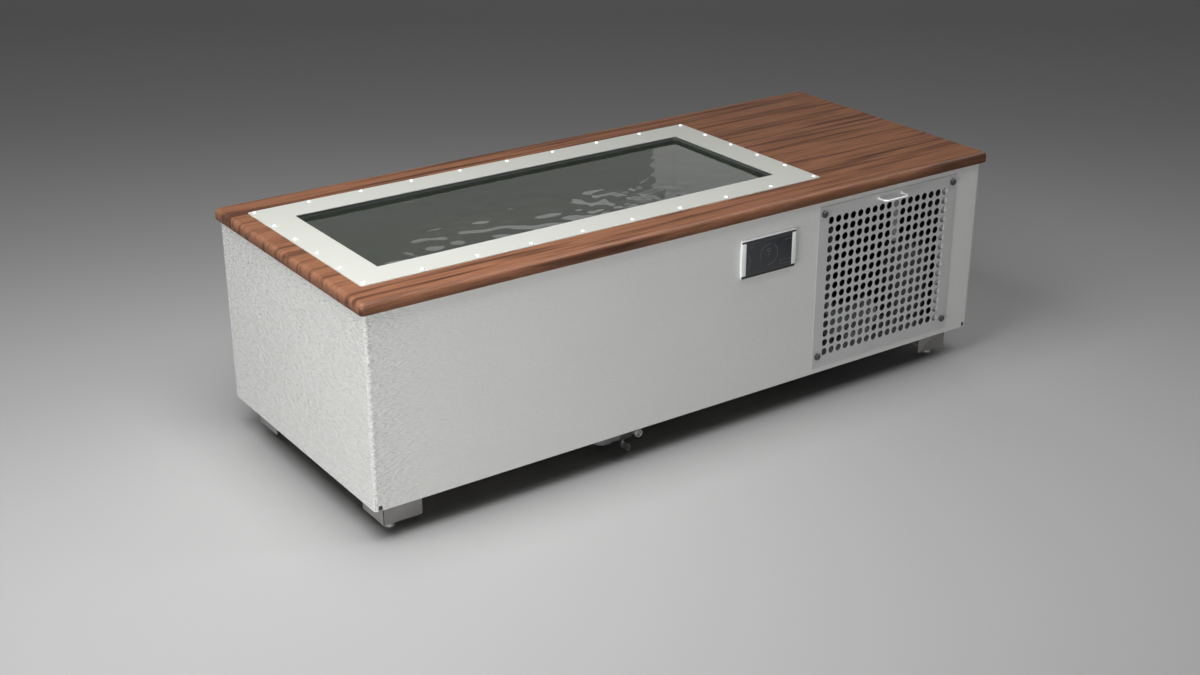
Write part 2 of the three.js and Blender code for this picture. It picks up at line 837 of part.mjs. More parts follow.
function rimFrame() {
  const outline = new THREE.Shape();
  roundedRectangle(outline, tubX, 0, rimLength, rimWidth, rimCornerRadius);
  const opening = new THREE.Path();
  opening.moveTo(tubX - openingLength / 2, -openingWidth / 2);
  opening.lineTo(tubX - openingLength / 2, openingWidth / 2);
  opening.lineTo(tubX + openingLength / 2, openingWidth / 2);
  opening.lineTo(tubX + openingLength / 2, -openingWidth / 2);
  opening.closePath();
  outline.holes.push(opening);
  for (const [x, y] of rimScrewPlaces()) {
    outline.holes.push(polygonHole(x, y, rimScrewRadius + slip, 6));
  }
  return prism(outline, woodTop, rimTop);
}

add("tub_basin", tubBasin(), basinGrey);
add("rim_gasket", rimGasket(), rubber);
add("rim_frame", rimFrame(), rimWhite);

// Insulation boards

const boardX = basinOuterLength / 2 + slip;
const boardY = basinOuterWidth / 2 + slip;

function insulationFloor() {
  const [halfX, halfY] = [boardX + insulation, boardY + insulation];
  const board = block([tubX - halfX, -halfY, frameTop], [tubX + halfX, halfY, basinBottom]);
  const hole = drainBarrel + turningGap;
  return cut(board, clearanceZ(frameTop - 1, basinBottom + 1, drainAxis, hole));
}

// One moulded foam ring round the basin, with clearance holes for the fittings in its end
function insulationJacket() {
  const bottom = basinBottom + slip;
  const thick = basinWall + slip + insulation;
  const ring = cut(
    prism(basinOutline(thick), bottom, boardTop),
    prism(basinOutline(basinWall + slip), bottom - 1, boardTop + 1),
  );
  const hole = fittingNut + fittingNutGap;
  const holes = [jetZ, suctionZ].map((z) => {
    return clearanceX(wallX + basinWall, bulkheadX, [fittingY, z], hole);
  });
  return cut(ring, holes);
}

add("insulation_floor", insulationFloor(), foam);
add("insulation_jacket", insulationJacket(), foam);

// Return jet and suction fitting in the basin's end wall

function wallFitting(z) {
  const outerWall = wallX + basinWall + slip;
  const disc = rodX(wallX - slip - fittingFlangeDepth, wallX - slip, [fittingY, z], fittingFlange);
  const barrel = rodX(wallX - slip - 1, tailX, [fittingY, z], fittingBarrel);
  const nut = rodX(outerWall, outerWall + fittingNutDepth, [fittingY, z], fittingNut, smallSides);
  const bore = pipeRadius - pipeWall;
  return cut(join(disc, barrel, nut), rodX(wallX, tailX + 1, [fittingY, z], bore, boreSides));
}

function jetBody() {
  const mouth = wallX - slip - fittingFlangeDepth - 1;
  const socketEnd = wallX + jetBallRadius;
  const socket = clearanceX(mouth, socketEnd, jetAxis, jetBallRadius + slip, roundSides);
  return cut(wallFitting(jetZ), socket);
}

function jetNozzle() {
  const through = 2 * jetBallRadius;
  const bore = rodX(wallX - through, wallX + through, jetAxis, jetBore, boreSides);
  return cut(ball([wallX, fittingY, jetZ], jetBallRadius, roundSides), bore);
}

function suctionFitting() {
  const tall = pipeRadius * 1.4;
  const middle = (suctionSlots - 1) / 2;
  const slots = Array.from({ length: suctionSlots }, (unused, k) => {
    const y = fittingY + (k - middle) * suctionSlotPitch;
    const low = [wallX - slip - fittingFlangeDepth - 1, y - suctionSlotWidth / 2, suctionZ - tall / 2];
    return block(low, [wallX + 1, y + suctionSlotWidth / 2, suctionZ + tall / 2]);
  });
  return cut(wallFitting(suctionZ), slots);
}

add("jet_body", jetBody(), pipeWhite);
add("jet_nozzle", jetNozzle(), pipeWhite);
add("suction_fitting", suctionFitting(), pipeWhite);

// Drain: floor strainer, pipe to the front edge, ball valve with a wing handle, hose outlet

const drainLineY = front + drainLineFromFront;
const drainZ = shellBottom - drainDrop;
const drainTop = basinBottom - floorBoard - drainTail;
const valveX = drainX + valveFromDrain;
const valveLeft = valveX - valveBodyLength / 2;
const valveRight = valveX + valveBodyLength / 2;
const outletX = valveRight + outletFromValve;
const hubTop = drainZ - valveBodyRadius - valveHubDrop;
const valveLine = [drainLineY, drainZ];
const stemAxis = [valveX, drainLineY];

function drainFitting() {
  const disc = turned([
    [0, slip],
    [fittingFlange, slip],
    [fittingFlange - 3, basinWall],
    [0, basinWall],
  ], [drainX, drainY, basinFloor]);
  const barrel = rodZ(basinFloor + 1, drainTop, drainAxis, drainBarrel);
  const bore = rodZ(basinFloor, drainTop - 1, drainAxis, pipeRadius - pipeWall, smallSides);
  const holes = Array.from({ length: strainerHoles }, (unused, k) => {
    const angle = (2 * Math.PI * k) / strainerHoles;
    const x = drainX + strainerHoleCircle * Math.cos(angle);
    const y = drainY + strainerHoleCircle * Math.sin(angle);
    return rodZ(basinFloor - 1, basinFloor + 2 * basinWall, [x, y], strainerHoleRadius, boreSides);
  });
  return cut(join(disc, barrel), bore, holes);
}

function drainPipe() {
  return pipe([
    [drainX, drainY, drainTop - slip],
    [drainX, drainY, drainZ],
    [drainX, drainLineY, drainZ],
    [valveLeft - slip, drainLineY, drainZ],
  ]);
}

function drainValveBody() {
  const body = rodX(valveLeft, valveRight, valveLine, valveBodyRadius);
  const bore = rodX(valveLeft - 1, valveRight + 1, valveLine, valveBore, boreSides);
  const seat = ball([valveX, drainLineY, drainZ], valveBallRadius + 2 * turningGap, roundSides);
  const bottom = drainZ - valveBodyRadius - 1;
  const stemHole = clearanceZ(drainZ, bottom, stemAxis, valveStemRadius + slip, boreSides);
  return cut(body, bore, seat, stemHole);
}

function drainValveBall() {
  const body = ball([valveX, drainLineY, drainZ], valveBallRadius, pipeSides);
  const across = 2 * valveBallRadius;
  const bore = rodY(drainLineY - across, drainLineY + across, [valveX, drainZ], valveBore, boreSides);
  const stemTop = drainZ - valveBallRadius * 0.8;
  const stemBottom = hubTop - wingHeight / 2;
  const stem = rodZ(stemTop, stemBottom, stemAxis, valveStemRadius, smallSides);
  return join(cut(body, bore), stem);
}

function drainHandle() {
  const bottom = hubTop - wingHeight;
  const hub = rodZ(hubTop, bottom, stemAxis, valveHubRadius);
  const half = wingThickness / 2;
  const wing = block([valveX - half, drainLineY, hubTop], [valveX + half, drainLineY - wingReach, bottom]);
  const socketBottom = hubTop - wingHeight / 2 - slip;
  const socket = clearanceZ(hubTop + 1, socketBottom, stemAxis, valveStemRadius + slip, boreSides);
  return cut(join(hub, wing), socket);
}

function drainOutlet() {
  const start = [valveRight + slip, drainLineY, drainZ];
  const corner = [outletX, drainLineY, drainZ];
  const mouth = [outletX, front + outletFromFront, drainZ];
  const outside = run([start, corner, mouth], outletRadius, outletRadius + 1);
  const ends = [beyond(corner, start), corner, beyond(corner, mouth)];
  const inside = run(ends, valveBore, valveBore, smallSides);
  return cut(outside, inside);
}

add("drain_fitting", drainFitting(), stainless);
add("drain_pipe", drainPipe(), pipeGrey);
add("drain_valve_body", drainValveBody(), frameBlack);
add("drain_valve_ball", drainValveBall(), chrome);
add("drain_handle", drainHandle(), frameBlack);
add("drain_outlet", drainOutlet(), stainless);

// Circulation pump

const pumpX = bayX + pumpFromBulkhead;
const pumpY = front + pumpFromFront;
const pumpZ = deckTop + pumpAxisHeight;
const pumpAxis = [pumpY, pumpZ];
const voluteX = pumpX + voluteLength / 2;
const motorX = pumpX + voluteLength + slip;
const pumpOutletZ = pumpZ + voluteRadius + voluteStub;

function pumpVolute() {
  const casing = rodX(pumpX, pumpX + voluteLength, pumpAxis, voluteRadius);
  const inlet = rodX(pumpX - voluteStub, pumpX + 1, pumpAxis, elbowRadius);
  const outlet = rodZ(pumpZ, pumpOutletZ, [voluteX, pumpY], elbowRadius);
  const bore = pipeRadius - pipeWall;
  const half = impellerThickness / 2 + 3;
  const chamber = rodX(voluteX - half, voluteX + half, pumpAxis, impellerRadius + 4);
  const suction = rodX(pumpX - voluteStub - 1, voluteX, pumpAxis, bore, boreSides);
  const discharge = rodZ(pumpZ, pumpOutletZ + 1, [voluteX, pumpY], bore, boreSides);
  const shaftEnd = pumpX + voluteLength + 1;
  const shaft = clearanceX(voluteX, shaftEnd, pumpAxis, pumpShaftRadius + slip, boreSides);
  return cut(join(casing, inlet, outlet), chamber, suction, discharge, shaft);
}

function pumpImpeller() {
  const half = impellerThickness / 2;
  const disc = rodX(voluteX - half, voluteX + half, pumpAxis, impellerRadius);
  const shaft = rodX(voluteX, motorX + pumpShaftLength, pumpAxis, pumpShaftRadius, smallSides);
  return join(disc, shaft);
}

function pumpMotor() {
  const body = rodX(motorX, motorX + motorLength, pumpAxis, motorRadius);
  const footX = motorX + motorLength / 2;
  const foot = block(
    [footX - motorFootLength / 2, pumpY - motorFootWidth / 2, deckTop],
    [footX + motorFootLength / 2, pumpY + motorFootWidth / 2, pumpZ - motorRadius / 2],
  );
  const boreEnd = motorX + pumpShaftLength + 1;
  const bore = clearanceX(motorX - 1, boreEnd, pumpAxis, pumpShaftRadius + slip, boreSides);
  return cut(join(body, foot), bore);
}

add("pump_volute", pumpVolute(), frameBlack);
add("pump_impeller", pumpImpeller(), stainless);
add("pump_motor", pumpMotor(), plateGrey);

// Filter, hung from the bulkhead

const filterX = voluteX;
const filterY = front + filterFromFront;
const filterAxis = [filterX, filterY];
const filterBottom = deckTop + filterHeadUp;
const filterTop = filterBottom + filterHeadHeight;
const portZ = filterBottom + filterHeadHeight / 2;
const portReach = filterHeadRadius + filterPort;

function filterHead() {
  const body = rodZ(filterBottom, filterTop, filterAxis, filterHeadRadius, fineSides);
  const arm = block(
    [bayX + slip, filterY - filterHeadRadius / 2, filterBottom + 10],
    [filterX, filterY + filterHeadRadius / 2, filterTop],
  );
  const ports = rodY(filterY - portReach, filterY + portReach, [filterX, portZ], elbowRadius);
  const neck = bowlNeckHeight + 1;
  const recessRadius = bowlNeckRadius + turningGap;
  const recessTop = filterBottom + neck;
  const recess = clearanceZ(filterBottom - 1, recessTop, filterAxis, recessRadius, fineSides);
  const bore = pipeRadius - pipeWall;
  const through = portReach + 1;
  const bores = rodY(filterY - through, filterY + through, [filterX, portZ], bore, boreSides);
  return cut(join(body, arm, ports), recess, bores);
}

function filterBowl() {
  const top = filterBottom - slip;
  const inner = bowlNeckRadius - bowlWall;
  const profile = [
    [0, top - bowlLength],
    [bowlRadius - 8, top - bowlLength],
    [bowlRadius, top - bowlLength + 8],
    [bowlRadius, top],
    [bowlNeckRadius - turningGap, top],
    [bowlNeckRadius - turningGap, top + bowlNeckHeight],
    [inner, top + bowlNeckHeight],
    [inner, top - bowlLength + bowlWall],
    [0, top - bowlLength + bowlWall],
  ];
  return turned(profile, [filterX, filterY, 0], fineSides);
}

function filterCartridge() {
  const bottom = filterBottom - bowlLength + bowlWall;
  const tube = rodZ(bottom, bottom + cartridgeLength, filterAxis, cartridgeRadius);
  const end = bottom + cartridgeLength + 1;
  return cut(tube, rodZ(bottom - 1, end, filterAxis, cartridgeBore, smallSides));
}

add("filter_head", filterHead(), blackPlastic);
add("filter_bowl", filterBowl(), pipeWhite);
add("filter_cartridge", filterCartridge(), foam);

// Chiller: heat exchanger, compressor, condenser, fan and refrigerant lines

const exchangerX = filterX;
const exchangerY = rear - exchangerFromRear;
const exchangerAxis = [exchangerX, exchangerY];
const exchangerTop = deckTop + exchangerHeight;
const returnZ = deckTop + exchangerOutletHeight;
const exchangerLeft = exchangerX - exchangerRadius;
const returnX = bayX + returnFromBulkhead;
const compressorX = right - sheet - compressorFromEnd;
const compressorY = front + compressorFromFront;
const condenserLeft = condenserRight - condenserLength;
const condenserFront = rear - sheet - condenserFromRear;
const condenserRear = condenserFront + condenserDepth;
const condenserTop = deckTop + condenserHeight;
const shroudFront = condenserRear + slip;
const fanMotorFront = shroudFront + strutDepth + slip;
const fanFront = fanMotorFront + fanMotorDepth + slip;

function heatExchanger() {
  const tank = rodZ(deckTop, exchangerTop, exchangerAxis, exchangerRadius, fineSides);
  const inletEnd = exchangerY - exchangerRadius - exchangerPort;
  const inlet = rodY(exchangerY, inletEnd, [exchangerX, portZ], elbowRadius);
  const outletEnd = exchangerLeft - exchangerOutletStub;
  const outlet = rodX(exchangerX, outletEnd, [exchangerY, returnZ], elbowRadius);
  const bore = pipeRadius - pipeWall;
  const inletBore = rodY(exchangerY, inletEnd - 1, [exchangerX, portZ], bore, boreSides);
  const outletBore = rodX(exchangerX, outletEnd - 1, [exchangerY, returnZ], bore, boreSides);
  return cut(join(tank, inlet, outlet), inletBore, outletBore);
}

// A welded shell with a seam round its middle and a domed top, on a base plate
function compressor() {
  const radius = compressorRadius;
  const seam = compressorHeight * 0.45;
  return turned([
    [0, 0],
    [radius + 10, 0],
    [radius + 10, 8],
    [radius - 4, 14],
    [radius, 24],
    [radius, seam - 6],
    [radius + 3, seam - 5],
    [radius + 3, seam + 5],
    [radius, seam + 6],
    [radius, compressorHeight - 65],
    [radius - 12, compressorHeight - 30],
    [radius - compressorShoulder, compressorHeight - compressorDome],
    [0, compressorHeight],
  ], [compressorX, compressorY, deckTop], fineSides);
}

function condenserCoil() {
  const core = block([condenserLeft, condenserFront, deckTop], [condenserRight, condenserRear, condenserTop]);
  const y = (condenserFront + condenserRear) / 2;
  const margin = condenserHeight / (2 * condenserTubes);
  const tubes = spread(deckTop + margin, condenserTop - margin, condenserTubes).map((z) => {
    const start = [condenserLeft - condenserTubeOut, y, z];
    return rod(start, [condenserRight + condenserTubeOut, y, z], condenserTubeRadius, boreSides);
  });
  return join(core, tubes);
}

function fanShroud() {
  const hole = fanRadius + shroudGap;
  const plateRear = shroudFront + shroudSheet;
  const plate = block([condenserLeft, shroudFront, deckTop], [condenserRight, plateRear, condenserTop]);
  const collarRear = shroudFront + shroudDepth;
  const collar = rodY(shroudFront, collarRear, fanAxis, hole + shroudSheet, fineSides);
  const opening = rodY(shroudFront - 1, collarRear + 1, fanAxis, hole, fineSides);
  const half = strutWidth / 2;
  const strutRear = shroudFront + strutDepth;
  const reach = hole + shroudSheet / 2;
  const struts = [
    block([fanX - reach, shroudFront, fanZ - half], [fanX + reach, strutRear, fanZ + half]),
    block([fanX - half, shroudFront, fanZ - reach], [fanX + half, strutRear, fanZ + reach]),
  ];
  return join(cut(join(plate, collar), opening), struts);
}

function fanMotor() {
  const rearEnd = fanMotorFront + fanMotorDepth;
  const body = rodY(fanMotorFront, rearEnd, fanAxis, fanMotorRadius);
  const boreFront = fanMotorFront + fanMotorDepth / 2 - 1;
  const bore = clearanceY(boreFront, rearEnd + 1, fanAxis, fanShaftRadius + slip, boreSides);
  return cut(body, bore);
}

function fanRotor() {
  const hub = rodY(fanFront, fanFront + fanHubDepth, fanAxis, fanHubRadius);
  const shaftFront = fanMotorFront + fanMotorDepth / 2;
  const shaft = rodY(shaftFront, fanFront + 1, fanAxis, fanShaftRadius, smallSides);
  const middle = [fanX, fanFront + fanHubDepth / 2, fanZ];
  const root = fanHubRadius * 0.8;
  const half = [fanBladeWidth / 2, fanBladeSheet / 2];
  const flat = block([-half[0], -half[1], root], [half[0], half[1], fanRadius - 2]);
  const blades = Array.from({ length: fanBlades }, (unused, k) => {
    return flat.rotate([0, 0, fanBladePitch]).rotate([0, (360 * k) / fanBlades, 0]).translate(middle);
  });
  return join(hub, shaft, blades);
}

// The liquid line runs round the bay's end to the condenser.
function liquidLine() {
  const z = deckTop + liquidLineHeight;
  const endX = condenserRight + liquidLineOut;
  const coilY = (condenserFront + condenserRear) / 2;
  return run([
    [compressorX + compressorRadius + slip, compressorY, z],
    [endX, compressorY, z],
    [endX, coilY, z],
    [condenserRight + slip, coilY, z],
  ], liquidLineRadius, liquidLineRadius, smallSides);
}

// The lagged gas line rises from the heat exchanger, crosses over and drops onto the compressor's shoulder.
function gasLine() {
  const gasX = compressorX - gasLineInset;
  const high = exchangerTop + gasLineRise;
  return run([
    [exchangerX, exchangerY, exchangerTop + slip],
    [exchangerX, exchangerY, high],
    [gasX, exchangerY, high],
    [gasX, compressorY, high],
    [gasX, compressorY, deckTop + compressorHeight - compressorDome + slip],
  ], gasLineRadius, gasLineRadius, smallSides);
}

add("heat_exchanger", heatExchanger(), pipeGrey);
add("compressor", compressor(), darkMetal);
add("condenser_coil", condenserCoil(), stainless);
add("fan_shroud", fanShroud(), frameBlack);
add("fan_motor", fanMotor(), darkMetal);
add("fan_rotor", fanRotor(), blackPlastic);
add("liquid_line", liquidLine(), copper);
add("gas_line", gasLine(), pipeWhite);

// Water pipes between the fittings, pump, filter and heat exchanger

function suctionPipe() {
  return pipe([
    [tailX + slip, fittingY, suctionZ],
    [returnX, fittingY, suctionZ],
    [returnX, pumpY, pumpZ],
    [pumpX - voluteStub - slip, pumpY, pumpZ],
  ]);
}

function pumpToFilterPipe() {
  return pipe([
    [filterX, pumpY, pumpOutletZ + slip],
    [filterX, pumpY, portZ],
    [filterX, filterY - portReach - slip, portZ],
  ]);
}

function filterToChillerPipe() {
  const end = exchangerY - exchangerRadius - exchangerPort - slip;
  return pipe([
    [filterX, filterY + portReach + slip, portZ],
    [filterX, end, portZ],
  ]);
}

function returnPipe() {
  return pipe([
    [exchangerLeft - exchangerOutletStub - slip, exchangerY, returnZ],
    [returnX, exchangerY, returnZ],
    [returnX, exchangerY, jetZ],
    [returnX, fittingY, jetZ],
    [tailX + slip, fittingY, jetZ],
  ]);
}

add("suction_pipe", suctionPipe(), pipeWhite);
add("pump_to_filter_pipe", pumpToFilterPipe(), pipeWhite);
add("filter_to_chiller_pipe", filterToChillerPipe(), pipeWhite);
add("return_pipe", returnPipe(), pipeWhite);

// Electrics

// A folded sheet box, open towards the end panel that it is screwed to
function controlBox() {
  const face = right - sheet - slip;
  const top = shellTop - controlBoxFromTop;
  const bottom = top - controlBoxHeight;
  const half = controlBoxWidth / 2;
  const wall = sheet;
  return cut(
    block([face - controlBoxDepth, -half, bottom], [face, half, top]),
    block([face - controlBoxDepth + wall, wall - half, bottom + wall], [face + 1, half - wall, top - wall]),
  );
}

function powerGland() {
  const profile = [
    [0, -sheet - glandTail],
    [glandRadius - slip, -sheet - glandTail],
    [glandRadius - slip, slip],
    [glandFlangeRadius, slip],
    [glandFlangeRadius, glandReach * 0.5],
    [glandRadius, glandReach],
    [0, glandReach],
  ];
  return turned(profile, [0, 0, 0]).rotate([-90, 0, 0]).translate([glandX, rear, glandZ]);
}

add("control_box", controlBox(), plateGrey);
add("power_gland", powerGland(), blackPlastic);

// Touch screen: an extruded housing with bowed side rails, an end cap above and below, and the glass between

const screenBack = front - slip;
const screenFront = screenBack - screenDepth;
const railInside = screenWidth / 2 - screenRail;

function screenHousing() {
  const half = [screenWidth / 2, screenHeight / 2];
  const [x0, x1] = [screenX - half[0], screenX + half[0]];
  const [low, high] = [screenZ - half[1], screenZ + half[1]];
  const outline = new THREE.Shape();
  outline.moveTo(x0, low);
  outline.lineTo(x1, low);
  outline.quadraticCurveTo(x1 + 2 * screenRailBow, screenZ, x1, high);
  outline.lineTo(x0, high);
  outline.quadraticCurveTo(x0 - 2 * screenRailBow, screenZ, x0, low);
  const body = frontPlate(outline, screenBack, screenDepth, 6);
  const glassBed = screenFront + screenGlassDepth + slip;
  const capBed = screenFront + screenCapDepth + slip;
  const inner = half[1] - screenCap;
  const pocket = block(
    [screenX - railInside, screenFront - 1, screenZ - inner],
    [screenX + railInside, glassBed, screenZ + inner],
  );
  const wide = half[0] + 3 * screenRailBow;
  const capSeats = [-1, 1].map((side) => {
    const corner = [screenX - wide, screenFront - 1, screenZ + side * inner];
    return block(corner, [screenX + wide, capBed, screenZ + side * (half[1] + 1)]);
  });
  const stemEnd = screenBack + sheet + screenStemLength;
  const stem = rodY(screenBack - 1, stemEnd, [screenX, screenZ], screenStemRadius);
  return join(cut(body, pocket, capSeats), stem);
}

function screenCapAt(side) {
  const half = [screenWidth / 2, screenHeight / 2];
  const rearFace = screenFront + screenCapDepth;
  const low = [screenX - half[0], screenFront, screenZ + side * (half[1] - screenCap + slip)];
  return block(low, [screenX + half[0], rearFace, screenZ + side * half[1]]);
}

function screenGlass() {
  const inner = screenHeight / 2 - screenCap - slip;
  const wide = railInside - slip;
  const rearFace = screenFront + screenGlassDepth;
  return block([screenX - wide, screenFront, screenZ - inner], [screenX + wide, rearFace, screenZ + inner]);
}

add("screen_housing", screenHousing(), silver);
add("screen_top_cap", screenCapAt(1), blackPlastic);
add("screen_bottom_cap", screenCapAt(-1), blackPlastic);
add("screen_glass", screenGlass(), glassBlack);

// Grille panel with its pull handle and captive thumb screws

function grillePanel() {
  const outline = new THREE.Shape();
  roundedRectangle(outline, grilleX, grilleZ, grilleWidth, grilleHeight, grilleCornerRadius);
  for (let row = 0; row < grilleRows; row += 1) {
    for (let column = 0; column < grilleColumns; column += 1) {
      const x = grilleX + (column - (grilleColumns - 1) / 2) * grillePitchAcross;
      const z = grilleZ + (row - (grilleRows - 1) / 2) * grillePitchUp;
      outline.holes.push(polygonHole(x, z, grilleHoleRadius, 6));
    }
  }
  const half = thumbShankRadius + turningGap;
  const slots = thumbPlaces().map(({ x, z, slot }) => {
    const low = [x - half, grilleFront - 1, z - slot * half];
    return block(low, [x + half, grilleBack + 1, z + slot * thumbSlotLength]);
  });
  return cut(frontPlate(outline, grilleBack, grilleSheet, 1), slots);
}

function pullHandle() {
  const z = grilleTop - handleFromTop;
  const back = grilleFront - slip;
  const bar = back - handleReach;
  const bend = handleBendRadius;
  const [x0, x1] = [grilleX - handleSpan / 2, grilleX + handleSpan / 2];
  const wireSteps = 28;
  const wire = new THREE.CurvePath();
  const at = (x, y) => new THREE.Vector3(x, y, z);
  wire.add(new THREE.LineCurve3(at(x0, back), at(x0, bar + bend)));
  wire.add(new THREE.QuadraticBezierCurve3(at(x0, bar + bend), at(x0, bar), at(x0 + bend, bar)));
  wire.add(new THREE.LineCurve3(at(x0 + bend, bar), at(x1 - bend, bar)));
  wire.add(new THREE.QuadraticBezierCurve3(at(x1 - bend, bar), at(x1, bar), at(x1, bar + bend)));
  wire.add(new THREE.LineCurve3(at(x1, bar + bend), at(x1, back)));
  const section = new THREE.Shape();
  section.absarc(0, 0, handleWireRadius, 0, 2 * Math.PI, false);
  return solid(new THREE.ExtrudeGeometry(section, { steps: wireSteps, curveSegments: 4, extrudePath: wire }));
}

function thumbScrew({ x, z }) {
  const head = grilleFront - slip;
  const profile = [
    [0, -thumbHeadHeight],
    [thumbHeadRadius - thumbHeadBevel, -thumbHeadHeight],
    [thumbHeadRadius, thumbHeadBevel - thumbHeadHeight],
    [thumbHeadRadius, 0],
    [thumbShankRadius, 0],
    [thumbShankRadius, thumbShankLength],
    [0, thumbShankLength],
  ];
  return turned(profile, [0, 0, 0], roundSides).rotate([-90, 0, 0]).translate([x, head, z]);
}

add("grille_panel", grillePanel(), plateGrey);
add("pull_handle", pullHandle(), chrome);
for (const place of thumbPlaces()) {
  add(`thumb_screw_${place.name}`, thumbScrew(place), darkMetal);
}

// The handle reaches past the deck's front edge, so the part is shifted to stand with its box centred.
const object = new THREE.Group();
object.name = "cold_plunge_tub";
const handleFront = -(grilleFront - slip - handleReach - handleWireRadius);
tub.position.y = (handleFront - (shellWidth / 2 + woodOverhang)) / 2;
object.add(tub);

export default object;
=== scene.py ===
import math

import bmesh
import bpy
from mathutils import Matrix, Quaternion, Vector, noise


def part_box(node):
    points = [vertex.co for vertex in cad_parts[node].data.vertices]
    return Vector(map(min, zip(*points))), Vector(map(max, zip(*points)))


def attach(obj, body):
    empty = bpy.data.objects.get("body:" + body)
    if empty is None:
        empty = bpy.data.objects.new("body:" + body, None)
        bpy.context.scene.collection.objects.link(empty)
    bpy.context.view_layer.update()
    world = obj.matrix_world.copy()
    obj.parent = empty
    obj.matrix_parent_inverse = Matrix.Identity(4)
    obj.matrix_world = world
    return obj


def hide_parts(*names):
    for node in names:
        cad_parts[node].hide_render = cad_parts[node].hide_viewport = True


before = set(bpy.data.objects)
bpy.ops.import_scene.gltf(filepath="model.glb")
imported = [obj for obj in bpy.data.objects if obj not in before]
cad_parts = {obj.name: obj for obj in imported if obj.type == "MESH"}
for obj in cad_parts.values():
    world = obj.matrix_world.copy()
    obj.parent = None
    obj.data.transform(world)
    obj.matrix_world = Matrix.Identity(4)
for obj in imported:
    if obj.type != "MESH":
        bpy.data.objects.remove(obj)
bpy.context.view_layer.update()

scene = bpy.context.scene

# Studio. A pale floor that darkens with distance, a soft lamp over the left and a small one over the
# right, two low lamps that light the tub alone, two white cards behind for the water to mirror, a
# weak fill from the sky, and the camera at the photograph's place.
scene.view_settings.view_transform = "Standard"
camera_heading = math.radians(35.05)
camera_dip = math.radians(23.42)


def adjusted(thing, **settings):
    for name, value in settings.items():
        setattr(thing, name, value)
    return thing


def new_object(name, data):
    made = bpy.data.objects.new(name, data)
    scene.collection.objects.link(made)
    return made


camera = new_object("camera", adjusted(bpy.data.cameras.new("camera"), lens=51.1, sensor_width=36))
camera.location = (-3.001, -4.158, 2.409)
camera.rotation_euler = (math.radians(90) - camera_dip, 0, -camera_heading)
scene.camera = camera


def softbox(name, place, target, width, height, power, roll=0.0):
    lamp = bpy.data.lights.new(name, "AREA")
    adjusted(lamp, shape="RECTANGLE", size=width, size_y=height, energy=power)
    facing = (Vector(target) - Vector(place)).to_track_quat("-Z", "Y")
    turn = (facing @ Quaternion((0, 0, 1), math.radians(roll))).to_euler()
    return adjusted(new_object(name, lamp), location=place, rotation_euler=turn, visible_camera=False)


softbox("top_light", (-1.7, -0.6, 2.8), (-1.7, -0.6, 0.0), width=2.4, height=1.6, power=63)
softbox("right_top_light", (1.1, -1.6, 2.8), (1.1, -1.6, 0.0), width=1.2, height=0.8, power=11)
left_light = softbox("left_light", (-4.55, -1.95, 0.5), (-0.5, 0.0, 0.4), width=2.4, height=1.0, power=142)
front_light = softbox("front_light", (-0.3, -4.8, 0.8), (0.0, 0.0, 0.4), width=2.4, height=1.0, power=24)
card_target, card_distance = Vector((-0.3, 0.0, 0.72)), 14.0


def white_card(name, heading, rise, width, height, roll, brightness):
    turn, tilt = math.radians(heading), math.radians(rise)
    direction = Vector((math.sin(turn) * math.cos(tilt), math.cos(turn) * math.cos(tilt), math.sin(tilt)))
    place = card_target + direction * card_distance
    softbox(name, place, card_target, width, height, brightness * math.pi * width * height, roll)


white_card("high_card", heading=27.0, rise=28.2, width=5.4, height=3.3, roll=13, brightness=0.9)
white_card("right_card", heading=47.7, rise=20.0, width=4.4, height=6.0, roll=0, brightness=0.42)


def connect(tree, made, inputs):
    for socket, value in inputs.items():
        if isinstance(value, bpy.types.NodeSocket):
            tree.links.new(value, made.inputs[socket])
        else:
            made.inputs[socket].default_value = value


def add_node(tree, kind, inputs=None, **settings):
    made = adjusted(tree.nodes.new(kind), **settings)
    connect(tree, made, inputs or {})
    return made


def maths(tree, operation, *values):
    return add_node(tree, "ShaderNodeMath", dict(enumerate(values)), operation=operation).outputs[0]


def map_range(tree, value, given, wanted=(0.0, 1.0)):
    labels = ("Value", "From Min", "From Max", "To Min", "To Max")
    return add_node(tree, "ShaderNodeMapRange", dict(zip(labels, (value, *given, *wanted)))).outputs[0]


def place_of(tree):
    return add_node(tree, "ShaderNodeTexCoord").outputs["Object"]


def axes(tree, place):
    return add_node(tree, "ShaderNodeSeparateXYZ", {0: place}).outputs


def reach_along(tree, place, direction):
    inputs = {0: place, 1: direction}
    return add_node(tree, "ShaderNodeVectorMath", inputs, operation="DOT_PRODUCT").outputs["Value"]


def mix_shaders(tree, share, first, second):
    return add_node(tree, "ShaderNodeMixShader", {0: share, 1: first.outputs[0], 2: second.outputs[0]})


def ramp(tree, value, stops):
    made = add_node(tree, "ShaderNodeValToRGB", {"Fac": value})
    points = made.color_ramp.elements
    while len(points) < len(stops):
        points.new(1.0)
    for point, (place, colour) in zip(points, stops):
        point.position = place
        point.color = (*colour, 1)
    return made.outputs["Color"]


def grey_ramp(tree, value, stops):
    return ramp(tree, value, [(place, (tone, tone, tone)) for place, tone in stops])


def new_material(name):
    made = bpy.data.materials.new(name)
    made.use_nodes = True
    return made, made.node_tree, made.node_tree.nodes["Principled BSDF"]


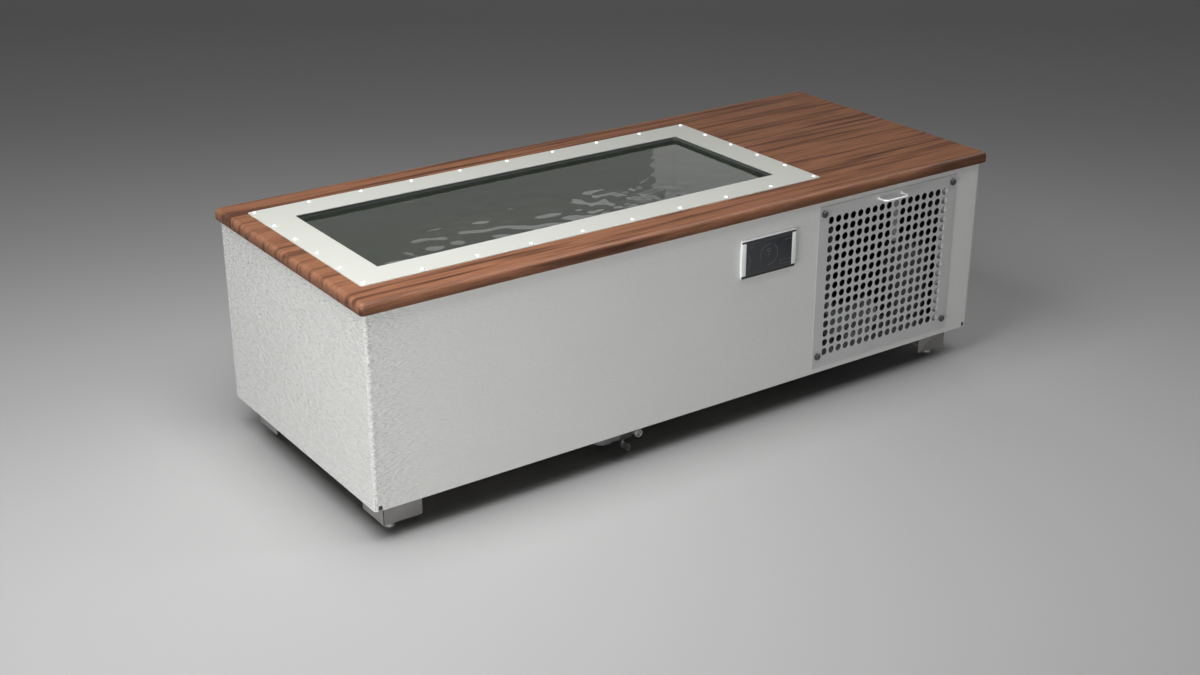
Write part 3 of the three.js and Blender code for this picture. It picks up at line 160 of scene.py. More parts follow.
studio = bpy.data.worlds.new("studio")
scene.world = studio
studio.use_nodes = True
sky = studio.node_tree
rear_right = Vector((0.5, 0.84, 0.2)).normalized()
sky_direction = place_of(sky)
sky_height = axes(sky, sky_direction)["Z"]
from_rear = map_range(sky, reach_along(sky, sky_direction, rear_right), (0, 1), (0.03, 0.4))
above_floor = map_range(sky, sky_height, (0.08, 0.35))
fill_light = sky.nodes["Background"]
connect(sky, fill_light, {"Color": maths(sky, "MULTIPLY", from_rear, above_floor)})
backdrop = add_node(sky, "ShaderNodeBackground", {"Color": (0.04, 0.04, 0.041, 1)})
ceiling = map_range(sky, sky_height, (0.57, 0.66), (0.46, 2.4))
mirrored = add_node(sky, "ShaderNodeBackground", {"Color": ceiling})
ray = add_node(sky, "ShaderNodeLightPath").outputs
glanced = mix_shaders(sky, ray["Is Glossy Ray"], fill_light, mirrored)
seen = maths(sky, "MAXIMUM", ray["Is Camera Ray"], ray["Is Transmission Ray"])
air = mix_shaders(sky, seen, glanced, backdrop)
connect(sky, sky.nodes["World Output"], {"Surface": air.outputs[0]})

floor_near, floor_far, floor_reach = -2.0, 8.0, 40
# Painted shade: the floor's colour is darkened further away along the view, standing in for the lamps' light
# falling off.
painted_falloff_tones = ((0.0, 0.69), (0.2, 0.7), (0.28, 0.68), (0.4, 0.6), (0.52, 0.49), (0.74, 0.38))
floor_paint, floor_tree, floor_shader = new_material("studio_floor")
away = (math.sin(camera_heading), math.cos(camera_heading), 0)
floor_distance = reach_along(floor_tree, place_of(floor_tree), away)
floor_share = map_range(floor_tree, floor_distance, (floor_near, floor_far))
painted_falloff_colour = grey_ramp(floor_tree, floor_share, painted_falloff_tones)
connect(floor_tree, floor_shader, {"Base Color": painted_falloff_colour, "Roughness": 0.45, "Specular IOR Level": 0.0})
floor_mesh = bpy.data.meshes.new("floor")
floor_corners = [Vector((x, y, 0)) * floor_reach for x, y in ((-1, -1), (1, -1), (1, 1), (-1, 1))]
floor_mesh.from_pydata(floor_corners, [], [(0, 1, 2, 3)])
floor_mesh.materials.append(floor_paint)
floor = new_object("floor", floor_mesh)
floor_alone = bpy.data.collections.new("floor_alone")
floor_alone.objects.link(floor)
floor_alone.collection_objects[0].light_linking.link_state = "EXCLUDE"
for lamp in (left_light, front_light):
    lamp.light_linking.receiver_collection = floor_alone

# Base frame. Two long channel rails with cross members, folded from 3 mm steel, welded and
# painted black; everything above stands on it.


def name_sockets(tree, direction, kinds):
    for label, kind in kinds.items():
        tree.interface.new_socket(name=label, in_out=direction, socket_type="NodeSocket" + kind)


def stretched(tree, place, factors):
    return add_node(tree, "ShaderNodeVectorMath", {0: place, 1: factors}, operation="MULTIPLY").outputs[0]


def scaled(tree, colour, factor):
    return add_node(tree, "ShaderNodeVectorMath", {0: colour, "Scale": factor}, operation="SCALE").outputs[0]


def speckle(tree, place, scale, detail, **more):
    inputs = {"Vector": place, "Scale": scale, "Detail": detail, **more}
    return add_node(tree, "ShaderNodeTexNoise", inputs).outputs["Fac"]


def bumped(tree, height, distance):
    return add_node(tree, "ShaderNodeBump", {"Height": height, "Distance": distance}).outputs["Normal"]


variation = bpy.data.node_groups.new("surface_variation", "ShaderNodeTree")
name_sockets(variation, "INPUT", {
    "Colour": "Color", "Colour Drift": "Float", "Roughness": "Float", "Roughness Drift": "Float",
    "Patch Scale": "Float", "Grain Scale": "Float", "Stretch": "Vector"})
name_sockets(variation, "OUTPUT", {"Colour": "Color", "Roughness": "Float", "Height": "Float"})
given = add_node(variation, "NodeGroupInput").outputs
drawn = stretched(variation, place_of(variation), given["Stretch"])
patches = speckle(variation, drawn, given["Patch Scale"], detail=4)
grains = speckle(variation, drawn, given["Grain Scale"], detail=3)
both = maths(variation, "MULTIPLY", maths(variation, "ADD", patches, grains), 0.5)
centred = maths(variation, "SUBTRACT", both, 0.5)
tint_share = maths(variation, "MULTIPLY_ADD", centred, given["Colour Drift"], 1.0)
add_node(variation, "NodeGroupOutput", {
    "Colour": scaled(variation, given["Colour"], tint_share),
    "Roughness": maths(variation, "MULTIPLY_ADD", centred, given["Roughness Drift"], given["Roughness"]),
    "Height": grains})


def varied(tree, colour, roughness, drift, patch, grain, stretch, roughness_drift=0.3):
    values = {
        "Colour": (*colour, 1), "Colour Drift": drift, "Roughness": roughness,
        "Roughness Drift": roughness_drift, "Patch Scale": patch, "Grain Scale": grain, "Stretch": stretch}
    return add_node(tree, "ShaderNodeGroup", values, node_tree=variation).outputs


def finish(
        name, colour, roughness, metallic=0.0, drift=0.35, patch=6.0, grain=500.0, stretch=(1, 1, 1),
        relief=0.0001, gloss=0.5):
    made, tree, shader = new_material(name)
    skin = varied(tree, colour, roughness, drift, patch, grain, stretch)
    connect(tree, shader, {
        "Base Color": skin["Colour"], "Roughness": skin["Roughness"],
        "Normal": bumped(tree, skin["Height"], relief),
        "Metallic": metallic, "Specular IOR Level": gloss})
    return made


def as_mesh(work, name):
    mesh = bpy.data.meshes.new(name)
    work.to_mesh(mesh)
    work.free()
    return mesh


def merged(node):
    work = bmesh.new()
    work.from_mesh(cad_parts[node].data)
    bmesh.ops.remove_doubles(work, verts=work.verts, dist=0.00001)
    bmesh.ops.dissolve_limit(work, angle_limit=math.radians(0.5), verts=work.verts, edges=work.edges)
    for face in work.faces:
        face.material_index = 0
    return as_mesh(work, node)


def settle(made):
    bpy.context.view_layer.update()
    shown = bpy.context.evaluated_depsgraph_get()
    mesh = bpy.data.meshes.new_from_object(
        made.evaluated_get(shown), preserve_all_data_layers=True, depsgraph=shown)
    made.modifiers.clear()
    made.data = mesh


def carried_mesh(carrier):
    settle(carrier)
    mesh = carrier.data
    bpy.data.objects.remove(carrier)
    return mesh


def ease(made, width, steps, angle):
    easing = made.modifiers.new("edge", "BEVEL")
    limit = math.radians(angle)
    return adjusted(easing, width=width, segments=steps, limit_method="ANGLE", angle_limit=limit)


def piece(name, shapes, material, slot, *nodes, body="cabinet", edge=0.0, crease=35):
    work = bmesh.new()
    for shape in shapes:
        work.from_mesh(shape)
    mesh = as_mesh(work, name)
    mesh.materials.append(material)
    mesh.shade_smooth()
    made = new_object(name, mesh)
    if edge:
        ease(made, edge, 2, crease).harden_normals = True
    else:
        mesh.set_sharp_from_angle(angle=math.radians(crease))
        made.modifiers.new("shading", "WEIGHTED_NORMAL").keep_sharp = True
    settle(made)
    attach(made, body)
    if nodes:
        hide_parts(*nodes)


def from_solid(name, node, material, slot, **looks):
    piece(name, [merged(node)], material, slot, node, **looks)


frame_paint = finish("frame_paint", (0.03, 0.03, 0.031), 0.5, grain=700)
from_solid("painted_base_frame", "base_frame", frame_paint, "frame_black", edge=0.0008)

# Legs. Each corner leg is two flanges of 3 mm stainless sheet folded from one blank, with an open
# gap down the corner, a foot plate and a welded nut; brushed along the fold.
corners = ("front_left", "front_right", "rear_left", "rear_right")
brushed_leg = finish(
    "brushed_leg", (0.2, 0.196, 0.188), 0.42, metallic=0.2, drift=0.5, patch=9, grain=420,
    stretch=(1, 1, 0.04))
for corner in corners:
    from_solid(f"folded_leg_{corner}", f"leg_{corner}", brushed_leg, "leg_steel", edge=0.0006)

# Levelling feet. A dark steel pad forged on a threaded stud, screwed up into the leg's nut so the
# tub can be levelled; the thread is cut the whole length of the stud.


def loft(loops, closed=False):
    work = bmesh.new()
    rings = [[work.verts.new(point) for point in loop] for loop in loops]
    following = rings[1:] + (rings[:1] if closed else [])
    for ring, other in zip(rings, following):
        for index in range(max(len(ring), len(other))):
            pairs = ((ring, index), (ring, index + 1), (other, index + 1), (other, index))
            around = [loop[number % len(loop)] for loop, number in pairs]
            work.faces.new(list(dict.fromkeys(around)))
    if not closed:
        for ring in (rings[0], rings[-1]):
            if len(ring) > 2:
                work.faces.new(ring)
    bmesh.ops.recalc_face_normals(work, faces=work.faces)
    return as_mesh(work, "loft")


def turned(profile, centre, axis, sides=48, closed=False):
    along = Vector(axis)
    across = along.orthogonal().normalized()
    loops = []
    for radius, distance in profile:
        spokes = sides if radius else 1
        heart = Vector(centre) + along * distance
        turns = [Matrix.Rotation(math.tau * spoke / spokes, 3, along) for spoke in range(spokes)]
        loops.append([heart + turn @ across * radius for turn in turns])
    return loft(loops, closed)


def drum(radius, start, end, first_edge=0.0, last_edge=0.0):
    first = [(radius - first_edge, start), (radius, start + first_edge)] if first_edge else [(radius, start)]
    last = [(radius, end - last_edge), (radius - last_edge, end)] if last_edge else [(radius, end)]
    return first + last


def extent(node):
    low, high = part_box(node)
    return low, high, (low + high) / 2


along_x, along_y, up = (1, 0, 0), (0, 1, 0), (0, 0, 1)
pad_radius, pad_side, pad_height, pad_edge = 0.015, 0.008, 0.012, 0.001
stud_radius, stud_collar, stud_point, thread_root, thread_pitch = 0.006, 0.009, 0.0045, 0.0053, 0.0018
foot_steel = finish("foot_steel", (0.4, 0.4, 0.395), 0.42, metallic=0.4)
for corner in corners:
    node = f"levelling_foot_{corner}"
    _, high, middle = extent(node)
    profile = [(0, 0), *drum(pad_radius, 0, pad_side, pad_edge)]
    profile += [(stud_collar, pad_height), (thread_root, pad_height)]
    height = pad_height + thread_pitch / 2
    while height < high.z - thread_pitch:
        profile += [(stud_radius, height), (thread_root, height + thread_pitch / 2)]
        height += thread_pitch
    profile += [(stud_point, high.z), (0, high.z)]
    foot = turned(profile, (middle.x, middle.y, 0), up, sides=32)
    piece(f"threaded_foot_{corner}", [foot], foot_steel, "foot_steel", node, body=node, crease=28)

# Machinery deck and bulkhead. Galvanised sheet, cut and folded; the deck carries the machinery and
# the bulkhead parts it from the basin.
galvanised = finish(
    "galvanised_sheet", (0.45, 0.455, 0.46), 0.46, metallic=0.9, drift=0.6, patch=45, grain=120)
for name, node in (("plated_deck", "machinery_deck"), ("plated_bulkhead", "bulkhead")):
    from_solid(name, node, galvanised, "sheet_steel", edge=0.0004)

# Insulation. Closed-cell foam, a board under the basin and a moulded jacket round it; both are
# pressed against the basin and shut in by the cabinet.


def dress(node, material):
    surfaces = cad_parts[node].data.materials
    surfaces.clear()
    surfaces.append(material)


foam = finish("closed_cell_foam", (0.72, 0.68, 0.56), 0.85, drift=0.4, patch=14, grain=420, relief=0.0006)
dress("insulation_floor", foam)
dress("insulation_jacket", foam)

# Basin and gasket. The basin is one dark moulded tray with a flange that hangs in the deck's rebate,
# paler where it is dry above the water; a flat rubber gasket seals it to the rim above.
liner = finish(
    "basin_liner", (0.035, 0.038, 0.036), 0.5, drift=0.4, patch=5, grain=260, relief=0.0002, gloss=0.05)
wet_up_to, dry_from, dry_gain = 0.714, 0.722, 4.5
liner_tree = liner.node_tree
liner_shader = liner_tree.nodes["Principled BSDF"]
wet_colour = liner_shader.inputs["Base Color"].links[0].from_socket
liner_height = axes(liner_tree, place_of(liner_tree))["Z"]
dry_share = map_range(liner_tree, liner_height, (wet_up_to, dry_from), (1.0, dry_gain))
connect(liner_tree, liner_shader, {"Base Color": scaled(liner_tree, wet_colour, dry_share)})
from_solid("moulded_basin", "tub_basin", liner, "basin_liner", crease=40)
dress("rim_gasket", finish("gasket_rubber", (0.03, 0.03, 0.03), 0.7, grain=600))

# Basin fittings. White moulded plastic: a flanged jet with a swivelling ball nozzle, a slotted
# suction grate low on the same wall, and a metal strainer in the floor, all clamped by nuts behind.
fitting_plastic = finish("fitting_plastic", (0.75, 0.76, 0.74), 0.35, drift=0.15, relief=0.00005)
drain_metal = finish("drain_metal", (0.26, 0.26, 0.255), 0.42, metallic=0.6, drift=0.4, patch=30)
for name, node in (("flanged_jet", "jet_body"), ("suction_grate", "suction_fitting")):
    from_solid(name, node, fitting_plastic, "fitting_white", edge=0.0008)
from_solid("floor_strainer", "drain_fitting", drain_metal, "drain_metal", edge=0.0006)

ball_radius, jet_bore, ball_steps = 0.0175, 0.008, 20
ball_centre = extent("jet_nozzle")[2]
bore_angle = math.asin(jet_bore / ball_radius)
ball_angles = [bore_angle + (math.pi - 2 * bore_angle) * step / ball_steps for step in range(ball_steps + 1)]
ball_profile = [(ball_radius * math.sin(angle), -ball_radius * math.cos(angle)) for angle in ball_angles]
jet_ball = turned(ball_profile, ball_centre, along_x, closed=True)
piece("jet_ball", [jet_ball], fitting_plastic, "fitting_white", "jet_nozzle", body="jet_nozzle")

# Drain line. A grey plastic elbow and pipe run under the basin to a black quarter-turn valve with a
# wing handle below it, and end in a bare metal hose outlet at the front edge.


def rounded_path(points, bend, steps=8):
    points = [Vector(point) for point in points]
    path = [points[0]]
    for before, corner, after in zip(points, points[1:], points[2:]):
        back = (before - corner).normalized() * bend
        ahead = (after - corner).normalized() * bend
        heart = corner + back + ahead
        angles = [math.pi / 2 * step / steps for step in range(steps + 1)]
        path += [heart - ahead * math.cos(angle) - back * math.sin(angle) for angle in angles]
    return path + [points[-1]]


def pipe_run(points, radius, bend, sides=24):
    path = rounded_path(points, bend)
    side = (path[1] - path[0]).orthogonal().normalized()
    last = len(path) - 1
    turns = [math.tau * spoke / sides for spoke in range(sides)]
    loops = []
    for index, point in enumerate(path):
        ahead = (path[min(index + 1, last)] - path[max(index - 1, 0)]).normalized()
        side = (side - ahead * side.dot(ahead)).normalized()
        other = ahead.cross(side)
        loops.append([point + (side * math.cos(turn) + other * math.sin(turn)) * radius for turn in turns])
    return loft(loops)


def plumbed(points, radius, bend, socket_radius, socket_reach):
    points = [Vector(point) for point in points]
    shapes = [pipe_run(points, radius, bend)]
    for before, corner, after in zip(points, points[1:], points[2:]):
        start, end = [
            corner + (far - corner).normalized() * min(socket_reach, (far - corner).length)
            for far in (before, after)]
        shapes.append(pipe_run([start, corner, end], socket_radius, bend))
    return shapes


def route(start, *moves):
    points = [Vector(start)]
    for axis, value in moves:
        points.append(adjusted(points[-1].copy(), **{axis: value}))
    return points


drain_sizes = {"radius": 0.0155, "bend": 0.016, "socket_radius": 0.0178, "socket_reach": 0.032}
strainer_low, _, strainer = extent("drain_fitting")
valve_low, _, valve = extent("drain_valve_body")
pipe_grey = finish("pipe_grey", (0.085, 0.088, 0.09), 0.45, drift=0.25, grain=400)
drain_start = (strainer.x, strainer.y, strainer_low.z)
drain_route = route(drain_start, ("z", valve.z), ("y", valve.y), ("x", valve_low.x))
piece("drain_elbow_pipe", plumbed(drain_route, **drain_sizes), pipe_grey, "pipe_grey", "drain_pipe")
valve_black = finish("valve_black", (0.02, 0.02, 0.021), 0.45, grain=600)
from_solid("valve_housing", "drain_valve_body", valve_black, "valve_black", edge=0.001)
from_solid("wing_handle", "drain_handle", valve_black, "valve_black", body="drain_lever", edge=0.0014)
dress("drain_valve_ball", drain_metal)

low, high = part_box("drain_outlet")
outlet_radius, mouth_bore, mouth_length, mouth_edge = 0.013, 0.0095, 0.009, 0.001
outlet_neck, outlet_bend, neck_start = 0.0108, 0.012, 0.006
outlet_x = high.x - outlet_radius
outlet_route = route((low.x, valve.y, valve.z), ("x", outlet_x), ("y", low.y + neck_start))
mouth_profile = [
    (mouth_bore, 0.0007), (mouth_bore + mouth_edge, 0), (outlet_radius - 0.0008, 0),
    (outlet_radius, mouth_edge), (outlet_radius, mouth_length), (mouth_bore, mouth_length)]
outlet_mouth = turned(mouth_profile, (outlet_x, low.y, valve.z), along_y, closed=True)
outlet_pipe = pipe_run(outlet_route, outlet_neck, outlet_bend)
piece("hose_outlet", [outlet_pipe, outlet_mouth], drain_metal, "drain_metal", "drain_outlet")

# Circulation pump. A cast, painted volute bolted to a finned motor on a foot plate; the plastic
# impeller sits on the motor's shaft inside the volute.


def layout_group(name, kinds):
    tree = bpy.data.node_groups.new(name, "GeometryNodeTree")
    name_sockets(tree, "INPUT", {"Copy": "Object", **kinds, "Material": "Material"})
    name_sockets(tree, "OUTPUT", {"Geometry": "Geometry"})
    given = add_node(tree, "NodeGroupInput").outputs
    pattern = add_node(tree, "GeometryNodeObjectInfo", {"Object": given["Copy"]}).outputs["Geometry"]
    return tree, given, pattern


def realized(tree, copies):
    return add_node(tree, "GeometryNodeRealizeInstances", {"Geometry": copies}).outputs[0]


def on_points(tree, points, pattern, **more):
    inputs = {"Points": points, "Instance": pattern, **more}
    return add_node(tree, "GeometryNodeInstanceOnPoints", inputs).outputs[0]


def point_line(tree, count, start, step):
    inputs = {"Count": count, "Start Location": start, "Offset": step}
    return add_node(tree, "GeometryNodeMeshLine", inputs).outputs[0]


def close_layout(tree, copies, material):
    inputs = {"Geometry": realized(tree, copies), "Material": material}
    painted = add_node(tree, "GeometryNodeSetMaterial", inputs).outputs[0]
    add_node(tree, "NodeGroupOutput", {"Geometry": painted})


def repeated(tree, shape, material, sizes):
    master = new_object("master", shape)
    carrier = new_object("carrier", bpy.data.meshes.new("carrier"))
    layout = carrier.modifiers.new("layout", "NODES")
    layout.node_group = tree
    values = {"Copy": master, **sizes, "Material": material}
    for socket in tree.interface.items_tree:
        if socket.in_out == "INPUT":
            layout[socket.identifier] = values[socket.name]
    laid_out = carried_mesh(carrier)
    bpy.data.objects.remove(master)
    return laid_out


ring, given, pattern = layout_group("copies_in_ring", {"Count": "Int", "Centre": "Vector", "Axis": "Vector"})
hub_points = point_line(ring, given["Count"], given["Centre"], (0, 0, 0))
number = add_node(ring, "GeometryNodeInputIndex").outputs[0]
angle = maths(ring, "MULTIPLY", number, maths(ring, "DIVIDE", math.tau, given["Count"]))
turn = add_node(ring, "FunctionNodeAxisAngleToRotation", {"Axis": given["Axis"], "Angle": angle}).outputs[0]
close_layout(ring, on_points(ring, hub_points, pattern, Rotation=turn), given["Material"])


def in_ring(shape, material, count, centre, axis):
    return repeated(ring, shape, material, {"Count": count, "Centre": centre, "Axis": axis})


def bar(low, high):
    x0, y0, z0 = low
    x1, y1, z1 = high
    return loft([[(x0, y0, z), (x1, y0, z), (x1, y1, z), (x0, y1, z)] for z in (z0, z1)])


pump_paint = finish("pump_paint", (0.22, 0.23, 0.24), 0.38, drift=0.3, patch=20)
motor_low, motor_high, motor_middle = extent("pump_motor")
motor_radius = (motor_high.y - motor_low.y) / 2
pump_axis = Vector((motor_low.x, motor_middle.y, motor_high.z - motor_radius))
volute_length, bolt_circle, bolt_radius, bolt_top, bolt_foot = 0.055, 0.05, 0.005, -0.004, 0.001
volute_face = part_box("pump_volute")[1].x - volute_length
bolt_profile = [
    (0, bolt_top), (bolt_radius - 0.0008, bolt_top), *drum(bolt_radius, bolt_top + 0.001, bolt_foot),
    (0, bolt_foot)]
volute_bolt = turned(bolt_profile, (0, bolt_circle, 0), along_x, sides=6)
bolts_place = (volute_face, pump_axis.y, pump_axis.z)
volute_bolts = in_ring(volute_bolt, pump_paint, count=8, centre=bolts_place, axis=along_x)
from_solid("cast_volute", "pump_volute", pump_paint, "pump_paint", edge=0.0022, crease=40)
piece("volute_bolts", [volute_bolts], drain_metal, "drain_metal")

shaft_hole, shaft_depth, fin_height, fin_half, fin_overlap = 0.008, 0.045, 0.004, 0.001, 0.001
motor_length = motor_high.x - motor_low.x
core_radius = motor_radius - fin_height
front_band, rear_band, band_slope = 0.014, motor_length - 0.032, 0.002
motor_profile = [
    (0, shaft_depth), *drum(shaft_hole, shaft_depth, 0), *drum(motor_radius, 0, front_band, first_edge=0.003),
    *drum(core_radius, front_band + band_slope, rear_band - band_slope),
    *drum(motor_radius, rear_band, motor_length, last_edge=0.008), (0, motor_length)]
motor_fin = bar(
    (front_band + fin_overlap, -fin_half, core_radius - fin_overlap),
    (rear_band - fin_overlap, fin_half, motor_radius))
motor_fins = in_ring(motor_fin, pump_paint, count=30, centre=pump_axis, axis=along_x)
foot_length, foot_width, foot_height = 0.11, 0.08, 0.022
foot_start = motor_low.x + (motor_length - foot_length) / 2
motor_foot = bar(
    (foot_start, pump_axis.y - foot_width / 2, motor_low.z),
    (foot_start + foot_length, pump_axis.y + foot_width / 2, motor_low.z + foot_height))
motor_case = turned(motor_profile, pump_axis, along_x)
piece("finned_motor", [motor_case, motor_fins, motor_foot], pump_paint, "pump_paint", "pump_motor")
dress("pump_impeller", finish("impeller_plastic", (0.02, 0.02, 0.022), 0.5))

# Filter. A black moulded head with two ports, a white screw-on bowl under it and a pleated paper
# cartridge inside; the bowl unscrews to change the cartridge.
from_solid("filter_cap", "filter_head", valve_black, "valve_black", edge=0.002, crease=40)
pipe_white = finish("pipe_white", (0.76, 0.77, 0.76), 0.35, drift=0.2, patch=8, grain=400, relief=0.00005)
from_solid("screw_bowl", "filter_bowl", pipe_white, "pipe_white", body="filter_bowl", crease=40)
dress("filter_cartridge", finish("filter_paper", (0.72, 0.68, 0.56), 0.9, stretch=(1, 1, 0.05)))

# Water pipes. White plastic pipe with solvent-welded elbow sockets: basin to pump, pump to filter,
# filter to heat exchanger, and back to the jet; the riser to the filter is grey.
pipe_sizes = {"radius": 0.0167, "bend": 0.019, "socket_radius": 0.0197, "socket_reach": 0.036}
upright_inset, level_inset, exchanger_radius = 0.0195, 0.0181, 0.08
suction = extent("suction_fitting")[2]
jet = extent("jet_body")[2]
filter_axis = extent("filter_cartridge")[2]
exchanger_low, exchanger_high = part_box("heat_exchanger")
exchanger_x = exchanger_high.x - exchanger_radius
exchanger_y = exchanger_high.y - exchanger_radius


def run_pipe(name, node, route, material=pipe_white, slot="pipe_white"):
    piece(name, plumbed(route, **pipe_sizes), material, slot, node)


low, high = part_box("suction_pipe")
upright_x = low.x + upright_inset
run_pipe("suction_run", "suction_pipe", [
    (low.x, suction.y, suction.z), (upright_x, suction.y, suction.z),
    (upright_x, pump_axis.y, pump_axis.z), (high.x, pump_axis.y, pump_axis.z)])
low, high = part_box("pump_to_filter_pipe")
riser_z = high.z - level_inset
riser_route = route((filter_axis.x, pump_axis.y, low.z), ("z", riser_z), ("y", high.y))
run_pipe("filter_riser", "pump_to_filter_pipe", riser_route, pipe_grey, "pipe_grey")
low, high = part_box("filter_to_chiller_pipe")
run_pipe("chiller_feed", "filter_to_chiller_pipe", route((filter_axis.x, low.y, riser_z), ("y", high.y)))
low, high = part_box("return_pipe")
return_z = low.z + level_inset
run_pipe("return_run", "return_pipe", route(
    (high.x, exchanger_y, return_z), ("x", upright_x), ("z", jet.z), ("y", jet.y), ("x", low.x)))

# Heat exchanger. An upright grey shell with rolled bands and domed ends, where the chiller's cold
# gas cools the water; it stands on the machinery deck.
exchanger_height = exchanger_high.z - exchanger_low.z
shell_radius, dome, band_step, band = exchanger_radius - 0.0015, 0.025, 0.0015, 0.012
foot_radius, crown_radius, crown_slope = 0.06, 0.05, 0.008
exchanger_profile = [(0, 0), (foot_radius, 0), (shell_radius, dome)]
for level in (0.2, 0.5, 0.8):
    start = exchanger_height * level
    exchanger_profile += [
        (shell_radius, start), *drum(exchanger_radius, start + band_step, start + band),
        (shell_radius, start + band + band_step)]
exchanger_profile += [
    (shell_radius, exchanger_height - dome), (exchanger_radius - 0.01, exchanger_height - crown_slope),
    (crown_radius, exchanger_height), (0, exchanger_height)]
exchanger_shell = turned(exchanger_profile, (exchanger_x, exchanger_y, exchanger_low.z), up)
port_radius, port_length, port_edge = 0.0205, 0.03, 0.001
port_profile = [(0, 0), *drum(port_radius, 0, port_length, port_edge), (0, port_length)]
inlet_port = turned(port_profile, (exchanger_x, exchanger_low.y, riser_z), along_y)
outlet_port = turned(port_profile, (exchanger_low.x, exchanger_y, return_z), along_x)
piece("exchanger_shell", [exchanger_shell, inlet_port, outlet_port], pipe_grey, "pipe_grey", "heat_exchanger")

# Compressor. A hermetic steel pot of two drawn halves welded at a seam, painted dark grey, on a
# pressed base plate bolted to the deck.
low, high, middle = extent("compressor")
pot_place = Vector((middle.x, middle.y, low.z))
pot_radius, base_radius, pot_height = 0.082, 0.092, high.z - low.z
base_height, foot_inset, foot_rise, seam_half, seam_rise = 0.008, 0.004, 0.006, 0.003, 0.004
seam, shoulder, dome_steps = pot_height * 0.45, pot_height - 0.05, 8
pot_profile = [
    (0, 0), *drum(base_radius, 0, base_height, first_edge=0.001, last_edge=0.002),
    (pot_radius - foot_inset, base_height), *drum(pot_radius, base_height + foot_rise, seam - seam_rise),
    *drum(pot_radius + seam_rise, seam - seam_half, seam + seam_half),
    *drum(pot_radius, seam + seam_rise, shoulder)]
for step in range(1, dome_steps):
    angle = math.pi / 2 * step / dome_steps
    pot_profile.append((pot_radius * math.cos(angle), shoulder + (pot_height - shoulder) * math.sin(angle)))
pot_profile.append((0, pot_height))
gas_inset, stub_radius, stub_length = 0.062, 0.009, 0.02
gas_x = pot_place.x - gas_inset
gas_low, gas_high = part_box("gas_line")
stub_profile = [(0, -stub_length), *drum(stub_radius, -stub_length, 0), (0, 0)]
gas_stub = turned(stub_profile, (gas_x, pot_place.y, gas_low.z), up, sides=24)
pot_paint = finish("pot_paint", (0.09, 0.092, 0.095), 0.4, drift=0.3)
pot_shapes = [turned(pot_profile, pot_place, up, sides=64), gas_stub]
piece("compressor_pot", pot_shapes, pot_paint, "compressor_paint", "compressor")

# Condenser. Thin aluminium fins pressed on rows of tube that double back at each end, upright
# behind the rear vents.
grid_kinds = {"Start": "Vector", "Step": "Vector", "Count": "Int", "Row Step": "Vector", "Rows": "Int"}


def grid_points(tree, given):
    one_row = point_line(tree, given["Count"], given["Start"], given["Step"])
    row_heads = point_line(tree, given["Rows"], (0, 0, 0), given["Row Step"])
    return realized(tree, on_points(tree, row_heads, one_row))


rows, given, pattern = layout_group("copies_in_rows", grid_kinds)
close_layout(rows, on_points(rows, grid_points(rows, given), pattern), given["Material"])


def in_rows(shape, material, start, step, count, row_step=(0, 0, 0), row_count=1):
    sizes = {"Start": start, "Step": step, "Count": count, "Row Step": row_step, "Rows": row_count}
    return repeated(rows, shape, material, sizes)


coil_aluminium = finish("coil_aluminium", (0.5, 0.5, 0.5), 0.4, metallic=0.9, grain=300)
low, high, middle = extent("condenser_coil")
tube_out, fin_sheet, fin_pitch = 0.012, 0.0004, 0.0035
fin_count = int((high.x - low.x - 2 * tube_out) / fin_pitch) + 1
fin = bar((0, low.y, low.z), (fin_sheet, high.y, high.z))
fins = in_rows(fin, coil_aluminium, (low.x + tube_out, 0, 0), (fin_pitch, 0, 0), fin_count)
coil_passes, coil_radius, coil_bend = 10, 0.0048, 0.015
pass_step = (high.z - low.z) / coil_passes
coil_ends = (low.x + coil_radius, high.x - coil_radius)
coil_route = []
for number in range(coil_passes):
    level = low.z + pass_step * (number + 0.5)
    for x in coil_ends if number % 2 == 0 else reversed(coil_ends):
        coil_route.append((x, middle.y, level))
coil_tube = pipe_run(coil_route, coil_radius, coil_bend, sides=12)
piece("finned_coil", [fins, coil_tube], coil_aluminium, "coil_aluminium", "condenser_coil")

# Fan. A black pressed shroud with a round throat and struts that hold the motor; the motor turns a
# five-bladed moulded rotor that blows out of the rear vents.
low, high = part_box("fan_shroud")
motor_low, motor_high, fan = extent("fan_motor")
throat, throat_wall, throat_round, shroud_sheet, shroud_sides = 0.114, 0.002, 0.006, 0.002, 64


def throat_loop(radius, y):
    turns = [math.tau * (side + 0.5) / shroud_sides for side in range(shroud_sides)]
    return [(fan.x + radius * math.cos(turn), y, fan.z + radius * math.sin(turn)) for turn in turns]


def shroud_border(y):
    half_x, half_z = (high.x - low.x) / 2, (high.z - low.z) / 2
    border = []
    for x, _, z in throat_loop(1.0, y):
        reach = max(abs(x - fan.x), abs(z - fan.z))
        border.append((fan.x + (x - fan.x) / reach * half_x, y, fan.z + (z - fan.z) / reach * half_z))
    return border


shroud_back = low.y + shroud_sheet
shroud_plate = loft([
    shroud_border(low.y), shroud_border(shroud_back), throat_loop(throat + throat_round, shroud_back),
    throat_loop(throat + throat_wall, shroud_back + throat_round), throat_loop(throat + throat_wall, high.y),
    throat_loop(throat, high.y), throat_loop(throat, low.y)], closed=True)
strut_half, strut_depth = 0.006, 0.004
struts = []
for reach_x, reach_z in ((throat, strut_half), (strut_half, throat)):
    strut_low = (fan.x - reach_x, low.y, fan.z - reach_z)
    struts.append(bar(strut_low, (fan.x + reach_x, low.y + strut_depth, fan.z + reach_z)))
piece("pressed_shroud", [shroud_plate, *struts], frame_paint, "frame_black", "fan_shroud")

